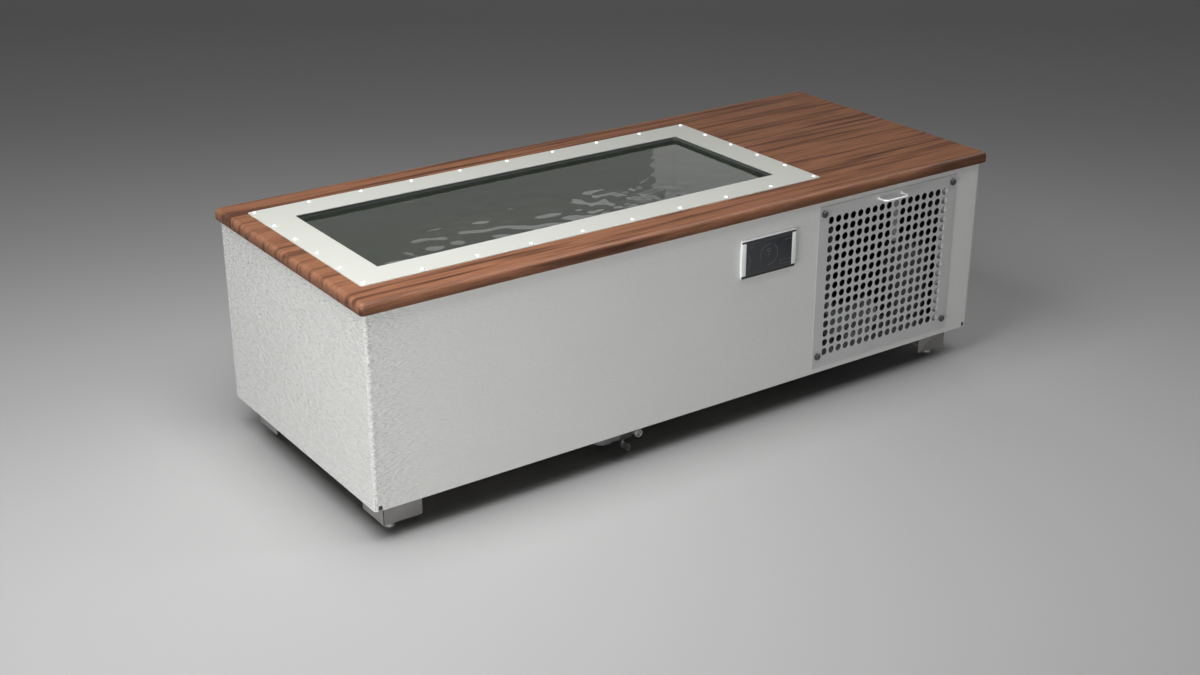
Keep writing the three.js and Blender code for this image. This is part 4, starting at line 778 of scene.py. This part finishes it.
can_radius = (motor_high.x - motor_low.x) / 2
can_depth = motor_high.y - motor_low.y
axle_hole, axle_end = 0.007, can_depth - 0.012
can_profile = [
    (0, 0), *drum(can_radius, 0, can_depth, first_edge=0.002, last_edge=0.004),
    *drum(axle_hole, can_depth, axle_end), (0, axle_end)]
motor_can = turned(can_profile, (fan.x, motor_low.y, fan.z), along_y)
piece("fan_motor_can", [motor_can], pump_paint, "pump_paint", "fan_motor")

low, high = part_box("fan_rotor")
hub_radius, hub_depth, axle_radius, tip_radius = 0.034, 0.0195, 0.005, 0.1075
blade_count, blade_stations, blade_points, blade_sunk = 5, 6, 7, 0.003
root_chord, chord_swell, root_pitch, pitch_loss = 0.03, 0.02, 36, 16
camber_height, blade_half = 0.003, 0.0013
hub_back = high.y - hub_depth
axle_end = low.y - hub_back
hub_profile = [
    (0, axle_end), *drum(axle_radius, axle_end, 0), *drum(hub_radius, 0, hub_depth, last_edge=0.005),
    (0, hub_depth)]
blade_loops = []
for station in range(blade_stations):
    share = station / (blade_stations - 1)
    radius = hub_radius - blade_sunk + (tip_radius - hub_radius + blade_sunk) * share
    chord = root_chord + chord_swell * math.sin(math.pi * (0.15 + 0.6 * share))
    pitch = math.radians(root_pitch - pitch_loss * share)
    upper, lower = [], []
    for step in range(blade_points):
        run = step / (blade_points - 1) - 0.5
        camber = camber_height * (1 - 4 * run * run)
        thickness = blade_half * (1 - 3.4 * run * run)
        for side, sign in ((upper, 1), (lower, -1)):
            offset = camber + sign * thickness
            across = chord * run * math.cos(pitch) - offset * math.sin(pitch)
            deep = chord * run * math.sin(pitch) + offset * math.cos(pitch)
            lean = across / radius
            side.append((radius * math.cos(lean), deep, radius * math.sin(lean)))
    blade_loops.append(upper + lower[::-1])
rotor_plastic = finish("rotor_plastic", (0.02, 0.02, 0.022), 0.42)
blade_place = (fan.x, hub_back + hub_depth / 2, fan.z)
blades = in_ring(loft(blade_loops), rotor_plastic, blade_count, blade_place, along_y)
hub = turned(hub_profile, (fan.x, hub_back, fan.z), along_y)
piece("fan_wheel", [hub, blades], rotor_plastic, "impeller_plastic", "fan_rotor", body="fan_rotor")

# Refrigerant lines. Bare copper carries liquid from the condenser to the compressor; the cold gas
# line is wrapped in grey foam lagging.
copper = finish("line_copper", (0.66, 0.34, 0.2), 0.3, metallic=1.0, drift=0.4, patch=20, grain=300)
lagging = finish("line_lagging", (0.55, 0.55, 0.54), 0.85, drift=0.3, patch=20, relief=0.0004)
from_solid("copper_line", "liquid_line", copper, "line_copper", edge=0.001)
gas_radius, gas_bend = 0.015, 0.02
gas_top = gas_high.z - gas_radius
gas_start = (exchanger_x, exchanger_y, exchanger_high.z)
gas_route = route(gas_start, ("z", gas_top), ("x", gas_x), ("y", pot_place.y), ("z", gas_low.z))
piece("lagged_gas_line", [pipe_run(gas_route, gas_radius, gas_bend)], lagging, "line_lagging", "gas_line")

# Control box and mains gland. A folded, painted box on the end panel holds the controls; the gland
# is a black moulded collar where a mains lead enters at the rear.
box_paint = finish("box_paint", (0.06, 0.06, 0.062), 0.5, drift=0.2)
from_solid("control_case", "control_box", box_paint, "box_paint", edge=0.001)
low, high, gland = extent("power_gland")
gland_bore, gland_stem, gland_flange, gland_nut = 0.005, 0.010, 0.015, 0.011
flange_front, flange_back, nut_front, gland_length = 0.0145, 0.0175, 0.0185, high.y - low.y
gland_profile = [
    (gland_bore, 0), *drum(gland_stem, 0, flange_front), *drum(gland_flange, flange_front, flange_back),
    *drum(gland_nut, nut_front, gland_length, last_edge=0.002), (gland_bore, gland_length)]
gland_collar = turned(gland_profile, (gland.x, low.y, gland.z), along_y, sides=32, closed=True)
piece("mains_gland", [gland_collar], valve_black, "valve_black", "power_gland")

# Cabinet. Folded 2 mm sheet, powder coated like leather at the left end and smoother along the front:
# one wrap for the front and left end, a frame welded behind its bay opening, a right end panel whose
# inner faces carry painted shade in the coat's colour, and a vented rear panel held by button-head screws.
powder_coat, coat_tree, coat_shader = new_material("powder_coat")
coat_place = place_of(coat_tree)
coat_along, coat_across, _ = axes(coat_tree, coat_place)
coat_drawn = stretched(coat_tree, coat_place, (0.6, 0.6, 1.7))
pebbles = speckle(coat_tree, coat_drawn, scale=95, detail=3, Roughness=0.45, Distortion=0.3)
fine = speckle(coat_tree, coat_drawn, scale=520, detail=2)
coat_skin = varied(
    coat_tree, (0.6, 0.6, 0.585), 0.55, drift=0.12, patch=3.0, grain=95.0, stretch=(1, 1, 1.7),
    roughness_drift=0.25)
fine_share, mean_height, coat_depth = 0.16, 0.58, 0.013
coat_height = maths(coat_tree, "MULTIPLY_ADD", fine, fine_share, pebbles)
coat_swing = maths(coat_tree, "SUBTRACT", coat_height, mean_height)
fade_ends, fade_stops = (-1.16, -0.66), ((0.02, 1.0), (0.06, 0.4), (0.4, 0.11), (1.0, 0.07))
coat_fade = grey_ramp(coat_tree, map_range(coat_tree, coat_along, fade_ends), fade_stops)
coat_relief = maths(coat_tree, "MULTIPLY", coat_swing, coat_fade)
# Painted shade: inside the cabinet near the right end the coat's colour is darkened to a small share, so the
# inner faces look as if in deep shade.
inside_x, inside_half_length, inside_y, inside_half_width, painted_shade_tone = 1.075, 0.0742, 0.02, 0.44, 0.06
within_x = maths(coat_tree, "COMPARE", coat_along, inside_x, inside_half_length)
within_y = maths(coat_tree, "COMPARE", coat_across, inside_y, inside_half_width)
painted_shade_share = map_range(coat_tree, maths(coat_tree, "MULTIPLY", within_x, within_y), (0, 1), (1.0, painted_shade_tone))
connect(coat_tree, coat_shader, {
    "Base Color": scaled(coat_tree, coat_skin["Colour"], painted_shade_share), "Roughness": coat_skin["Roughness"],
    "Normal": bumped(coat_tree, coat_relief, coat_depth)})
from_solid("folded_right_end", "right_end_panel", powder_coat, "powder_coat", crease=50)
from_solid("vented_rear", "rear_panel", powder_coat, "powder_coat", crease=50)
from_solid("welded_bay_frame", "bay_frame", powder_coat, "powder_coat", crease=50)

wrap_low, wrap_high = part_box("cabinet_wrap")
grille_low, grille_high, grille_middle = extent("grille_panel")
right_end_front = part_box("right_end_panel")[0].y
sheet, sheet_edge, fold, fold_steps, lip, lip_start = 0.002, 0.0009, 0.011, 8, 0.025, 0.029
notch_start, notch_width, notch_height = 0.0003, 0.013, 0.016
bay_lap_sides, bay_lap_ends = 0.043, 0.030
bay_x = (grille_low.x + bay_lap_sides, grille_high.x - bay_lap_sides)
bay_z = (grille_low.z + bay_lap_ends, grille_high.z - bay_lap_ends)


def fold_points(heart_x, start):
    angles = [math.radians(start + 90 * step / fold_steps) for step in range(fold_steps + 1)]
    heart_y = wrap_low.y + fold
    return [(heart_x + fold * math.cos(angle), heart_y + fold * math.sin(angle)) for angle in angles]


notches = (wrap_low.x + fold + notch_start, wrap_high.x - fold - notch_start - notch_width)
front_x = (notches[0], notches[0] + notch_width, *bay_x, notches[1], notches[1] + notch_width)
wrap_plan = [(wrap_low.x, wrap_high.y)] + fold_points(wrap_low.x + fold, 180)
wrap_plan += [(x, wrap_low.y) for x in front_x]
wrap_plan += [point for point in fold_points(wrap_high.x - fold, 270) if point[1] < right_end_front]
wrap_rows = (wrap_low.z, wrap_low.z + notch_height, *bay_z, wrap_high.z)


def is_open(middle, bottom, top):
    in_bay = bay_x[0] < middle < bay_x[1] and bay_z[0] <= bottom and top <= bay_z[1]
    in_notch = bottom == wrap_low.z and any(0 < middle - notch < notch_width for notch in notches)
    return in_bay or in_notch


def thick_sheet(face, thickness, edge, steps=1, crease=50):
    carrier = new_object("sheet", face)
    adjusted(carrier.modifiers.new("sheet", "SOLIDIFY"), thickness=thickness, offset=-1)
    ease(carrier, edge, steps, crease)
    return carried_mesh(carrier)


wrap_work = bmesh.new()
wrap_grid = [[wrap_work.verts.new((x, y, z)) for z in wrap_rows] for x, y in wrap_plan]
for index, (start, end) in enumerate(zip(wrap_plan, wrap_plan[1:])):
    near, far = wrap_grid[index], wrap_grid[index + 1]
    for row, (bottom, top) in enumerate(zip(wrap_rows, wrap_rows[1:])):
        if not is_open((start[0] + end[0]) / 2, bottom, top):
            wrap_work.faces.new((near[row], far[row], far[row + 1], near[row + 1]))
wrap_sheet = thick_sheet(as_mesh(wrap_work, "wrap_face"), sheet, sheet_edge, steps=2)
lips = []
for z in (wrap_low.z, wrap_high.z - sheet):
    front_lip_end = (wrap_high.x - lip_start, wrap_low.y + lip, z + sheet)
    left_lip_end = (wrap_low.x + lip, wrap_high.y - lip_start, z + sheet)
    lips.append(bar((wrap_low.x + lip_start, wrap_low.y + sheet, z), front_lip_end))
    lips.append(bar((wrap_low.x + sheet, wrap_low.y + lip_start, z), left_lip_end))
lips.append(bar(
    (wrap_low.x + sheet, wrap_high.y - sheet, wrap_low.z + lip_start),
    (wrap_low.x + lip, wrap_high.y, wrap_high.z - lip_start)))
piece("folded_wrap", [wrap_sheet, *lips], powder_coat, "powder_coat", "cabinet_wrap", crease=40)


def button_head(radius, height, axis, steps=5):
    angles = [math.pi / 2 * step / steps for step in range(steps)]
    profile = [(radius * math.cos(angle), height * math.sin(angle)) for angle in angles]
    return turned([(0, 0), *profile, (0, height)], (0, 0, 0), axis, sides=14)


screw_steel = finish(
    "polished_screw", (0.97, 0.97, 0.96), 0.25, metallic=0.5, drift=0.05, patch=200, grain=900,
    relief=0.00002)
rear_screw_x, rear_screw_low, rear_screw_high, rear_screw_count = 1.1375, 0.156, 0.646, 5
rear_head_radius, rear_head_height = 0.0045, 0.0025
rear_step = (rear_screw_high - rear_screw_low) / (rear_screw_count - 1)
first_rear_screw = (-rear_screw_x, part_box("rear_panel")[1].y, rear_screw_low)
rear_head = button_head(rear_head_radius, rear_head_height, along_y)
rear_span = (2 * rear_screw_x, 0, 0)
rear_screws = in_rows(
    rear_head, screw_steel, first_rear_screw, (0, 0, rear_step), rear_screw_count, rear_span, 2)
piece("rear_screws", [rear_screws], screw_steel, "drain_metal")

# Deck. Walnut boards glued into one 36 mm panel with the grain running lengthwise, the upper edge
# rounded over by 15 mm; oiled on top and lacquered round the edge. The basin's flange hangs in a
# rebate of its cut-out and the rim lies over both.
walnut, wood_tree, wood_shader = new_material("oiled_walnut")
wood_place = place_of(wood_tree)
wood_height = axes(wood_tree, wood_place)["Z"]


def wood_noise(length_scale, across_scale, scale, detail, **more):
    drawn = stretched(wood_tree, wood_place, (length_scale, across_scale, across_scale * 0.4))
    return speckle(wood_tree, drawn, scale, detail, **more)


figure = wood_noise(0.8, 18, scale=2.4, detail=4, Distortion=0.3)
streaks = wood_noise(1.1, 42, scale=2.0, detail=3)
pores = wood_noise(9, 420, scale=1.6, detail=2)
streak_share, pore_depth = 0.45, 0.00015
wood_tones = ramp(wood_tree, maths(wood_tree, "MULTIPLY_ADD", streaks, streak_share, figure), [
    (0.53, (0.1, 0.043, 0.025)), (0.64, (0.21, 0.091, 0.05)),
    (0.78, (0.38, 0.168, 0.092)), (0.92, (0.28, 0.122, 0.067))])
painted_shade_low, painted_shade_high, lacquer_top, oil_bottom = 0.703, 0.731, 0.73, 0.7318
pore_shade = map_range(wood_tree, pores, (0.3, 0.55), (0.72, 1.0))
# Painted shade: the walnut's colour darkens towards the bottom of the deck's edge, standing in for shade
# under the round-over; it is multiplied with the pores' tone.
painted_edge_shade = map_range(wood_tree, wood_height, (painted_shade_low, painted_shade_high), (0.42, 1.0))
pores_and_painted_shade = maths(wood_tree, "MULTIPLY", pore_shade, painted_edge_shade)
connect(wood_tree, wood_shader, {
    "Base Color": scaled(wood_tree, wood_tones, pores_and_painted_shade),
    "Roughness": map_range(wood_tree, streaks, (0, 1), (0.42, 0.6)),
    "Normal": bumped(wood_tree, pores, pore_depth),
    "Coat Weight": map_range(wood_tree, wood_height, (oil_bottom, lacquer_top), (0.0, 0.45)),
    "Coat Roughness": 0.18, "Specular IOR Level": 0.02})


def rounded_rectangle(x0, x1, y0, y1, radius, steps=6):
    left, right, near, far = x0 + radius, x1 - radius, y0 + radius, y1 - radius
    outline = []
    for x, y, start in ((right, near, -90), (right, far, 0), (left, far, 90), (left, near, 180)):
        for step in range(steps + 1):
            angle = math.radians(start + 90 * step / steps)
            outline.append((x + radius * math.cos(angle), y + radius * math.sin(angle)))
    return outline


def level_loop(low, high, inset, radius, z):
    outline = rounded_rectangle(low.x + inset, high.x - inset, low.y + inset, high.y - inset, radius)
    return [(x, y, z) for x, y in outline]


deck_low, deck_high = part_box("wood_top")
basin_low, basin_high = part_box("tub_basin")
flange, flange_depth, rebate_gap, cut_gap, cut_corner = 0.026, 0.004, 0.001, 0.002, 0.02
round_over, round_steps, foot_round, deck_corner = 0.015, 10, 0.002, 0.006


def deck_loop(inset, z):
    return level_loop(deck_low, deck_high, inset, deck_corner + (round_over - inset) * 0.4, z)


def cut_loop(inset, z):
    return level_loop(basin_low, basin_high, inset, cut_corner, z)


deck_loops = [deck_loop(foot_round, deck_low.z), deck_loop(0, deck_low.z + foot_round)]
for step in range(round_steps + 1):
    angle = math.pi / 2 * step / round_steps
    drop = round_over * (1 - math.sin(angle))
    deck_loops.append(deck_loop(round_over * (1 - math.cos(angle)), deck_high.z - drop))
rebate_z = deck_high.z - flange_depth
deck_loops += [
    cut_loop(-rebate_gap, deck_high.z), cut_loop(-rebate_gap, rebate_z),
    cut_loop(flange - cut_gap, rebate_z), cut_loop(flange - cut_gap, deck_low.z)]
piece("walnut_deck", [loft(deck_loops, closed=True)], walnut, "walnut", "wood_top")

# Rim. A flat 3 mm frame round the opening, painted off-white, screwed down through the gasket with
# polished button-head screws near its outer edge.
rim_paint = finish(
    "rim_paint", (0.7, 0.71, 0.655), 0.55, drift=0.08, patch=4, relief=0.00006, gloss=0.08)
rim_low, rim_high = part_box("rim_frame")
rim_band, rim_corner, mouth_corner, rim_edge = 0.105, 0.008, 0.003, 0.0009
rim_side = [
    (0, rim_low.z), (0, rim_high.z - rim_edge), (rim_edge * 0.3, rim_high.z - rim_edge * 0.3),
    (rim_edge, rim_high.z)]
rim_loops = [level_loop(rim_low, rim_high, inset, rim_corner - inset, z) for inset, z in rim_side]
for growth, z in reversed(rim_side):
    rim_loops.append(level_loop(rim_low, rim_high, rim_band - growth, mouth_corner + growth, z))
piece("painted_rim", [loft(rim_loops, closed=True)], rim_paint, "rim_white", "rim_frame", crease=50)

screw_inset, screws_along, screws_across, head_radius, head_height = 0.016, 10, 6, 0.0082, 0.005
screw_head = button_head(head_radius, head_height, up)
first_x, first_y = rim_low.x + screw_inset, rim_low.y + screw_inset
span_x = rim_high.x - screw_inset - first_x
span_y = rim_high.y - screw_inset - first_y
along_step = (span_x / (screws_along - 1), 0, 0)
across_step = (0, span_y / (screws_across - 1), 0)
long_start = (first_x, first_y, rim_high.z)
short_start = (first_x, first_y + across_step[1], rim_high.z)
long_rows = in_rows(screw_head.copy(), screw_steel, long_start, along_step, screws_along, (0, span_y, 0), 2)
short_rows = in_rows(screw_head, screw_steel, short_start, across_step, screws_across - 2, (span_x, 0, 0), 2)
piece("rim_screws", [long_rows, short_rows], screw_steel, "drain_metal")

# Water. The filled basin: cold water, very slightly cloudy, its surface stirred into low ripples by
# the jet, most of all in one patch near the front.
water, water_tree, water_shader = new_material("clear_water")
connect(water_tree, water_shader, {
    "Base Color": (0.2, 0.235, 0.18, 1), "Transmission Weight": 0.88, "IOR": 1.33, "Roughness": 0.02})
shadow_ray = add_node(water_tree, "ShaderNodeLightPath").outputs["Is Shadow Ray"]
lit_through = add_node(water_tree, "ShaderNodeBsdfTransparent", {"Color": (0.8, 0.88, 0.85, 1)})
water_mix = mix_shaders(water_tree, shadow_ray, water_shader, lit_through)
connect(water_tree, water_tree.nodes["Material Output"], {"Surface": water_mix.outputs[0]})

basin_wall, water_gap, water_level = 0.003, 0.001, 0.720
water_inset = flange + basin_wall + water_gap
water_low = (basin_low.x + water_inset, basin_low.y + water_inset)
water_high = (basin_high.x - water_inset, basin_high.y - water_inset)
water_floor = basin_low.z + basin_wall + water_gap
columns, ranks = 210, 78
swell_height, chop_height, stir_height, stir_reach = 0.0005, 0.00034, 0.003, 0.15
stir = Vector((-0.047, -0.209))


def wave(x, y):
    swell = swell_height * noise.noise((x * 2.3, y * 4.1, 0.4))
    chop = chop_height * noise.noise((x * 14.0, y * 20.0, 2.7))
    near = math.exp(-((Vector((x, y)) - stir).length / stir_reach) ** 2)
    return swell + chop + stir_height * near * noise.noise((x * 22, y * 26, 5.1))


water_work = bmesh.new()
surface = []
for rank in range(ranks + 1):
    y = water_low[1] + (water_high[1] - water_low[1]) * rank / ranks
    line = []
    for column in range(columns + 1):
        x = water_low[0] + (water_high[0] - water_low[0]) * column / columns
        line.append(water_work.verts.new((x, y, water_level + wave(x, y))))
    surface.append(line)
for near, far in zip(surface, surface[1:]):
    for column in range(columns):
        water_work.faces.new((near[column], near[column + 1], far[column + 1], far[column]))
right_side = [line[-1] for line in surface[1:]]
left_side = [line[0] for line in surface[-2:0:-1]]
border = surface[0] + right_side + surface[-1][-2::-1] + left_side
sunk = [water_work.verts.new((vert.co.x, vert.co.y, water_floor)) for vert in border]
for index, vert in enumerate(border):
    ahead = (index + 1) % len(border)
    water_work.faces.new((vert, sunk[index], sunk[ahead], border[ahead]))
water_work.faces.new(sunk[::-1])
bmesh.ops.recalc_face_normals(water_work, faces=water_work.faces)
piece("still_water", [as_mesh(water_work, "water")], water, "screen_glass", crease=60)

# Touch screen. A silver housing with bowed side rails on a stem through the front, black ribbed
# caps at the top and bottom edges, and dark glass with a ring, an arc and plain numbers on it.
silver = finish(
    "brushed_silver", (0.86, 0.87, 0.88), 0.34, metallic=0.15, drift=0.2, patch=30, grain=700,
    stretch=(1, 1, 0.05))
cap_black = finish("cap_black", (0.014, 0.014, 0.015), 0.42, grain=600)
low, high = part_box("screen_housing")
lip_inset, lip_drop, lip_rise, lip_front, lip_back = 0.002, 0.002, 0.0008, 0.0009, 0.009
top_lip = bar(
    (low.x + lip_inset, low.y - lip_front, high.z - lip_drop),
    (high.x - lip_inset, low.y + lip_back, high.z + lip_rise))
housing_shapes = [merged("screen_housing"), top_lip]
piece("silver_housing", housing_shapes, silver, "screen_silver", "screen_housing", edge=0.0012, crease=40)
from_solid("smooth_bottom_cap", "screen_bottom_cap", cap_black, "screen_cap_black", edge=0.0006)

low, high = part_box("screen_top_cap")
brow_inset, brow_drop, brow_rise, brow_sunk, brow_top = 0.014, 0.0045, 0.0004, 0.0002, 0.002
rib_pitch, rib_width, rib_lean, rib_rise, rib_inset, rib_end = 0.0056, 0.0022, 0.009, 0.0004, 0.02, 0.0006
brow_low, brow_face, brow_high = low.z - brow_drop, low.y - brow_rise, high.z - brow_top
brow = bar((low.x + brow_inset, brow_face, brow_low), (high.x - brow_inset, low.y + brow_sunk, brow_high))
rib_loops = []
for z, lean in ((brow_low + rib_end, -rib_lean / 2), (brow_high - rib_end, rib_lean / 2)):
    left, right = lean - rib_width / 2, lean + rib_width / 2
    rib_loops.append([(left, brow_face, z), (lean, brow_face - rib_rise, z), (right, brow_face, z)])
rib_count = int((high.x - low.x - 2 * rib_inset) / rib_pitch) + 1
ribs = in_rows(loft(rib_loops), cap_black, (low.x + rib_inset, 0, 0), (rib_pitch, 0, 0), rib_count)
cap_shapes = [merged("screen_top_cap"), brow, ribs]
piece("ribbed_top_cap", cap_shapes, cap_black, "screen_cap_black", "screen_top_cap")

glass = finish("screen_glass", (0.03, 0.033, 0.038), 0.12, drift=0.1, grain=900, relief=0.000005)
from_solid("dark_glass", "screen_glass", glass, "screen_glass", edge=0.0005)
low, high, middle = extent("screen_glass")
mark_rise = 0.00015


def mark_arc(x, z, radius, width, start, end, steps=48):
    heart = Vector((x, low.y, z))
    lift = Vector((0, -mark_rise, 0))
    loops = []
    for step in range(steps + 1):
        angle = math.radians(start + (end - start) * step / steps)
        spoke = Vector((math.cos(angle), 0, math.sin(angle)))
        inner, outer = heart + spoke * (radius - width / 2), heart + spoke * (radius + width / 2)
        loops.append([inner, outer, outer + lift, inner + lift])
    return loft(loops, closed=end - start >= 360)


def mark_text(words, x, z, height):
    letters = bpy.data.curves.new("marks", "FONT")
    adjusted(letters, body=words, size=height, align_x="CENTER", align_y="CENTER", extrude=mark_rise / 2)
    holder = new_object("marks", letters)
    bpy.context.view_layer.update()
    shape = bpy.data.meshes.new_from_object(holder.evaluated_get(bpy.context.evaluated_depsgraph_get()))
    bpy.data.objects.remove(holder)
    shape.materials.clear()
    shape.transform(Matrix.Translation((x, low.y, z)) @ Matrix.Rotation(math.radians(90), 4, "X"))
    return shape


def mark_bar(x, z, width, height):
    return bar((x - width / 2, low.y - mark_rise, z - height / 2), (x + width / 2, low.y, z + height / 2))


ring_radius, ring_width, hair, dot_radius, dot_step, dot_inset = 0.034, 0.0014, 0.0008, 0.0022, 0.009, 0.008
number_x, number_rise, number_height, small_height = middle.x - 0.002, 0.013, 0.017, 0.008
clock_inset, top_line = 0.02, high.z - 0.016
side_arc = (low.x - 0.018, middle.z - 0.008)
screen_marks = [
    mark_arc(middle.x, middle.z, ring_radius, ring_width, start=82, end=195),
    mark_arc(middle.x, middle.z, ring_radius, ring_width, start=-100, end=52),
    mark_text("42", number_x, middle.z + number_rise, number_height),
    mark_text("60", number_x, middle.z, small_height),
    mark_arc(*side_arc, ring_radius, ring_width, start=-52, end=40),
    mark_text("12:30", low.x + clock_inset, top_line, small_height)]
for number in range(3):
    dot_x = high.x - dot_inset - dot_step * number
    screen_marks.append(mark_arc(dot_x, top_line, dot_radius, hair, start=0, end=360, steps=24))
button_x, button_z, button_width, button_height = high.x - 0.024, low.z + 0.017, 0.044, 0.013
for side in (-1, 1):
    screen_marks.append(mark_bar(button_x, button_z + side * button_height / 2, button_width, hair))
    screen_marks.append(mark_bar(button_x + side * button_width / 2, button_z, hair, button_height))
for edge_z in (low.z + hair, brow_low - hair):
    screen_marks.append(mark_bar(middle.x, edge_z, high.x - low.x - 0.002, hair))
mark_grey = finish("screen_marks", (0.11, 0.113, 0.118), 0.5, drift=0.05, grain=900, relief=0.000002)
piece("screen_marks", screen_marks, mark_grey, "screen_silver")

# Grille. A flat 2 mm satin-painted plate pierced with rows of round holes; slots at its corners hang
# on four knurled thumb screws, and a chromed wire handle is riveted near its top edge.
pierced, given, blank = layout_group(
    "pierced_plate", {**grid_kinds, "Hole Radius": "Float", "Hole Sides": "Int", "Front": "Float"})
hole_sizes = {"Resolution": given["Hole Sides"], "Radius": given["Hole Radius"]}
hole = add_node(pierced, "GeometryNodeCurvePrimitiveCircle", hole_sizes).outputs[0]
hole_rims = realized(pierced, on_points(pierced, grid_points(pierced, given), hole))
border_lines = add_node(pierced, "GeometryNodeMeshToCurve", {"Mesh": blank}).outputs[0]
outlines = add_node(pierced, "GeometryNodeJoinGeometry")
for lines in (border_lines, hole_rims):
    connect(pierced, outlines, {0: lines})
filled = add_node(pierced, "GeometryNodeFillCurve", {"Curve": outlines.outputs[0]}).outputs[0]
front_place = add_node(pierced, "ShaderNodeCombineXYZ", {"Y": given["Front"]}).outputs[0]
stood = add_node(pierced, "GeometryNodeTransform", {
    "Geometry": filled, "Translation": front_place, "Rotation": (math.radians(90), 0, 0)}).outputs[0]
close_layout(pierced, stood, given["Material"])


def outlines_only(outlines):
    points, lines = [], []
    for outline in outlines:
        first = len(points)
        points += [(x, y, 0) for x, y in outline]
        lines += [(first + index, first + (index + 1) % len(outline)) for index in range(len(outline))]
    shape = bpy.data.meshes.new("outlines")
    shape.from_pydata(points, lines, [])
    return shape


satin_grille = finish(
    "satin_grille", (0.52, 0.52, 0.52), 0.4, metallic=0.25, drift=0.15, patch=12, grain=600, relief=0.00004)
grille_columns, grille_rows, column_step, row_step, hole_radius = 17, 15, 0.0312, 0.0321, 0.0122
grille_corner, grille_edge, slot_half, slot_run = 0.003, 0.0003, 0.0035, 0.017
thumbs = ("top_left", "top_right", "bottom_left", "bottom_right")
grille_outlines = [rounded_rectangle(grille_low.x, grille_high.x, grille_low.z, grille_high.z, grille_corner)]
for corner in thumbs:
    middle = extent(f"thumb_screw_{corner}")[2]
    outward = 1 if corner.startswith("top") else -1
    ends = sorted((middle.z - outward * slot_half, middle.z + outward * slot_run))
    slot_x = (middle.x - slot_half, middle.x + slot_half)
    grille_outlines.append(rounded_rectangle(*slot_x, *ends, slot_half * 0.98))
first_hole_x = grille_middle.x - column_step * (grille_columns - 1) / 2
first_hole_z = grille_middle.z - row_step * (grille_rows - 1) / 2
grille_face = repeated(pierced, outlines_only(grille_outlines), satin_grille, {
    "Start": (first_hole_x, first_hole_z, 0), "Step": (column_step, 0, 0), "Count": grille_columns,
    "Row Step": (0, row_step, 0), "Rows": grille_rows, "Hole Radius": hole_radius, "Hole Sides": 28,
    "Front": grille_low.y})
grille_sheet = thick_sheet(grille_face, grille_high.y - grille_low.y, grille_edge)
piece(
    "pierced_grille", [grille_sheet], satin_grille, "grille_steel", "grille_panel", body="grille", crease=50)

chrome = finish(
    "chromed_wire", (0.95, 0.95, 0.95), 0.16, metallic=0.35, drift=0.1, grain=400, relief=0.000005)
low, high, middle = extent("pull_handle")
wire, handle_bend = (high.z - low.z) / 2, 0.012
handle_ends = (low.x + wire, high.x - wire)
handle_start = (handle_ends[0], high.y, middle.z)
handle_route = route(handle_start, ("y", low.y + wire), ("x", handle_ends[1]), ("y", high.y))
collar_radius, collar_height = 0.005, 0.0018
collar_profile = [
    (wire, 0), (collar_radius - 0.0002, 0), (collar_radius, -0.0004), (collar_radius, -0.0012),
    (collar_radius - 0.0005, -collar_height), (wire, -collar_height)]
collars = [turned(collar_profile, (x, high.y, middle.z), along_y, sides=32, closed=True) for x in handle_ends]
handle = pipe_run(handle_route, wire, handle_bend)
piece("chromed_handle", [handle, *collars], chrome, "chrome_wire", "pull_handle", body="grille")

thumb_steel = finish("thumb_steel", (0.1, 0.1, 0.102), 0.34, metallic=0.85, drift=0.3, grain=700)
head_radius, head_depth, shank_radius, knurl_depth = 0.011, 0.008, 0.003, 0.0005
dimple_radius, dimple_depth = 0.005, 0.0006
core = head_radius - knurl_depth
ridge_count, ridge_half, ridge_root, ridge_ends = 48, 0.0006, core - 0.0003, (0.0016, head_depth - 0.0012)
for corner in thumbs:
    node = f"thumb_screw_{corner}"
    low, high, middle = extent(node)
    length = high.y - low.y
    place = (middle.x, low.y, middle.z)
    profile = [
        (0, dimple_depth), (dimple_radius, dimple_depth), (dimple_radius + dimple_depth, 0),
        *drum(core, 0, head_depth, first_edge=0.0014, last_edge=0.001),
        *drum(shank_radius, head_depth, length, last_edge=0.001), (0, length)]
    ridge = loft([
        [(ridge_root, y, -ridge_half), (head_radius, y, 0), (ridge_root, y, ridge_half)] for y in ridge_ends])
    ridges = in_ring(ridge, thumb_steel, ridge_count, place, along_y)
    head = turned(profile, place, along_y)
    piece(f"knurled_{node}", [head, ridges], thumb_steel, "thumb_screw_steel", node, body=node)
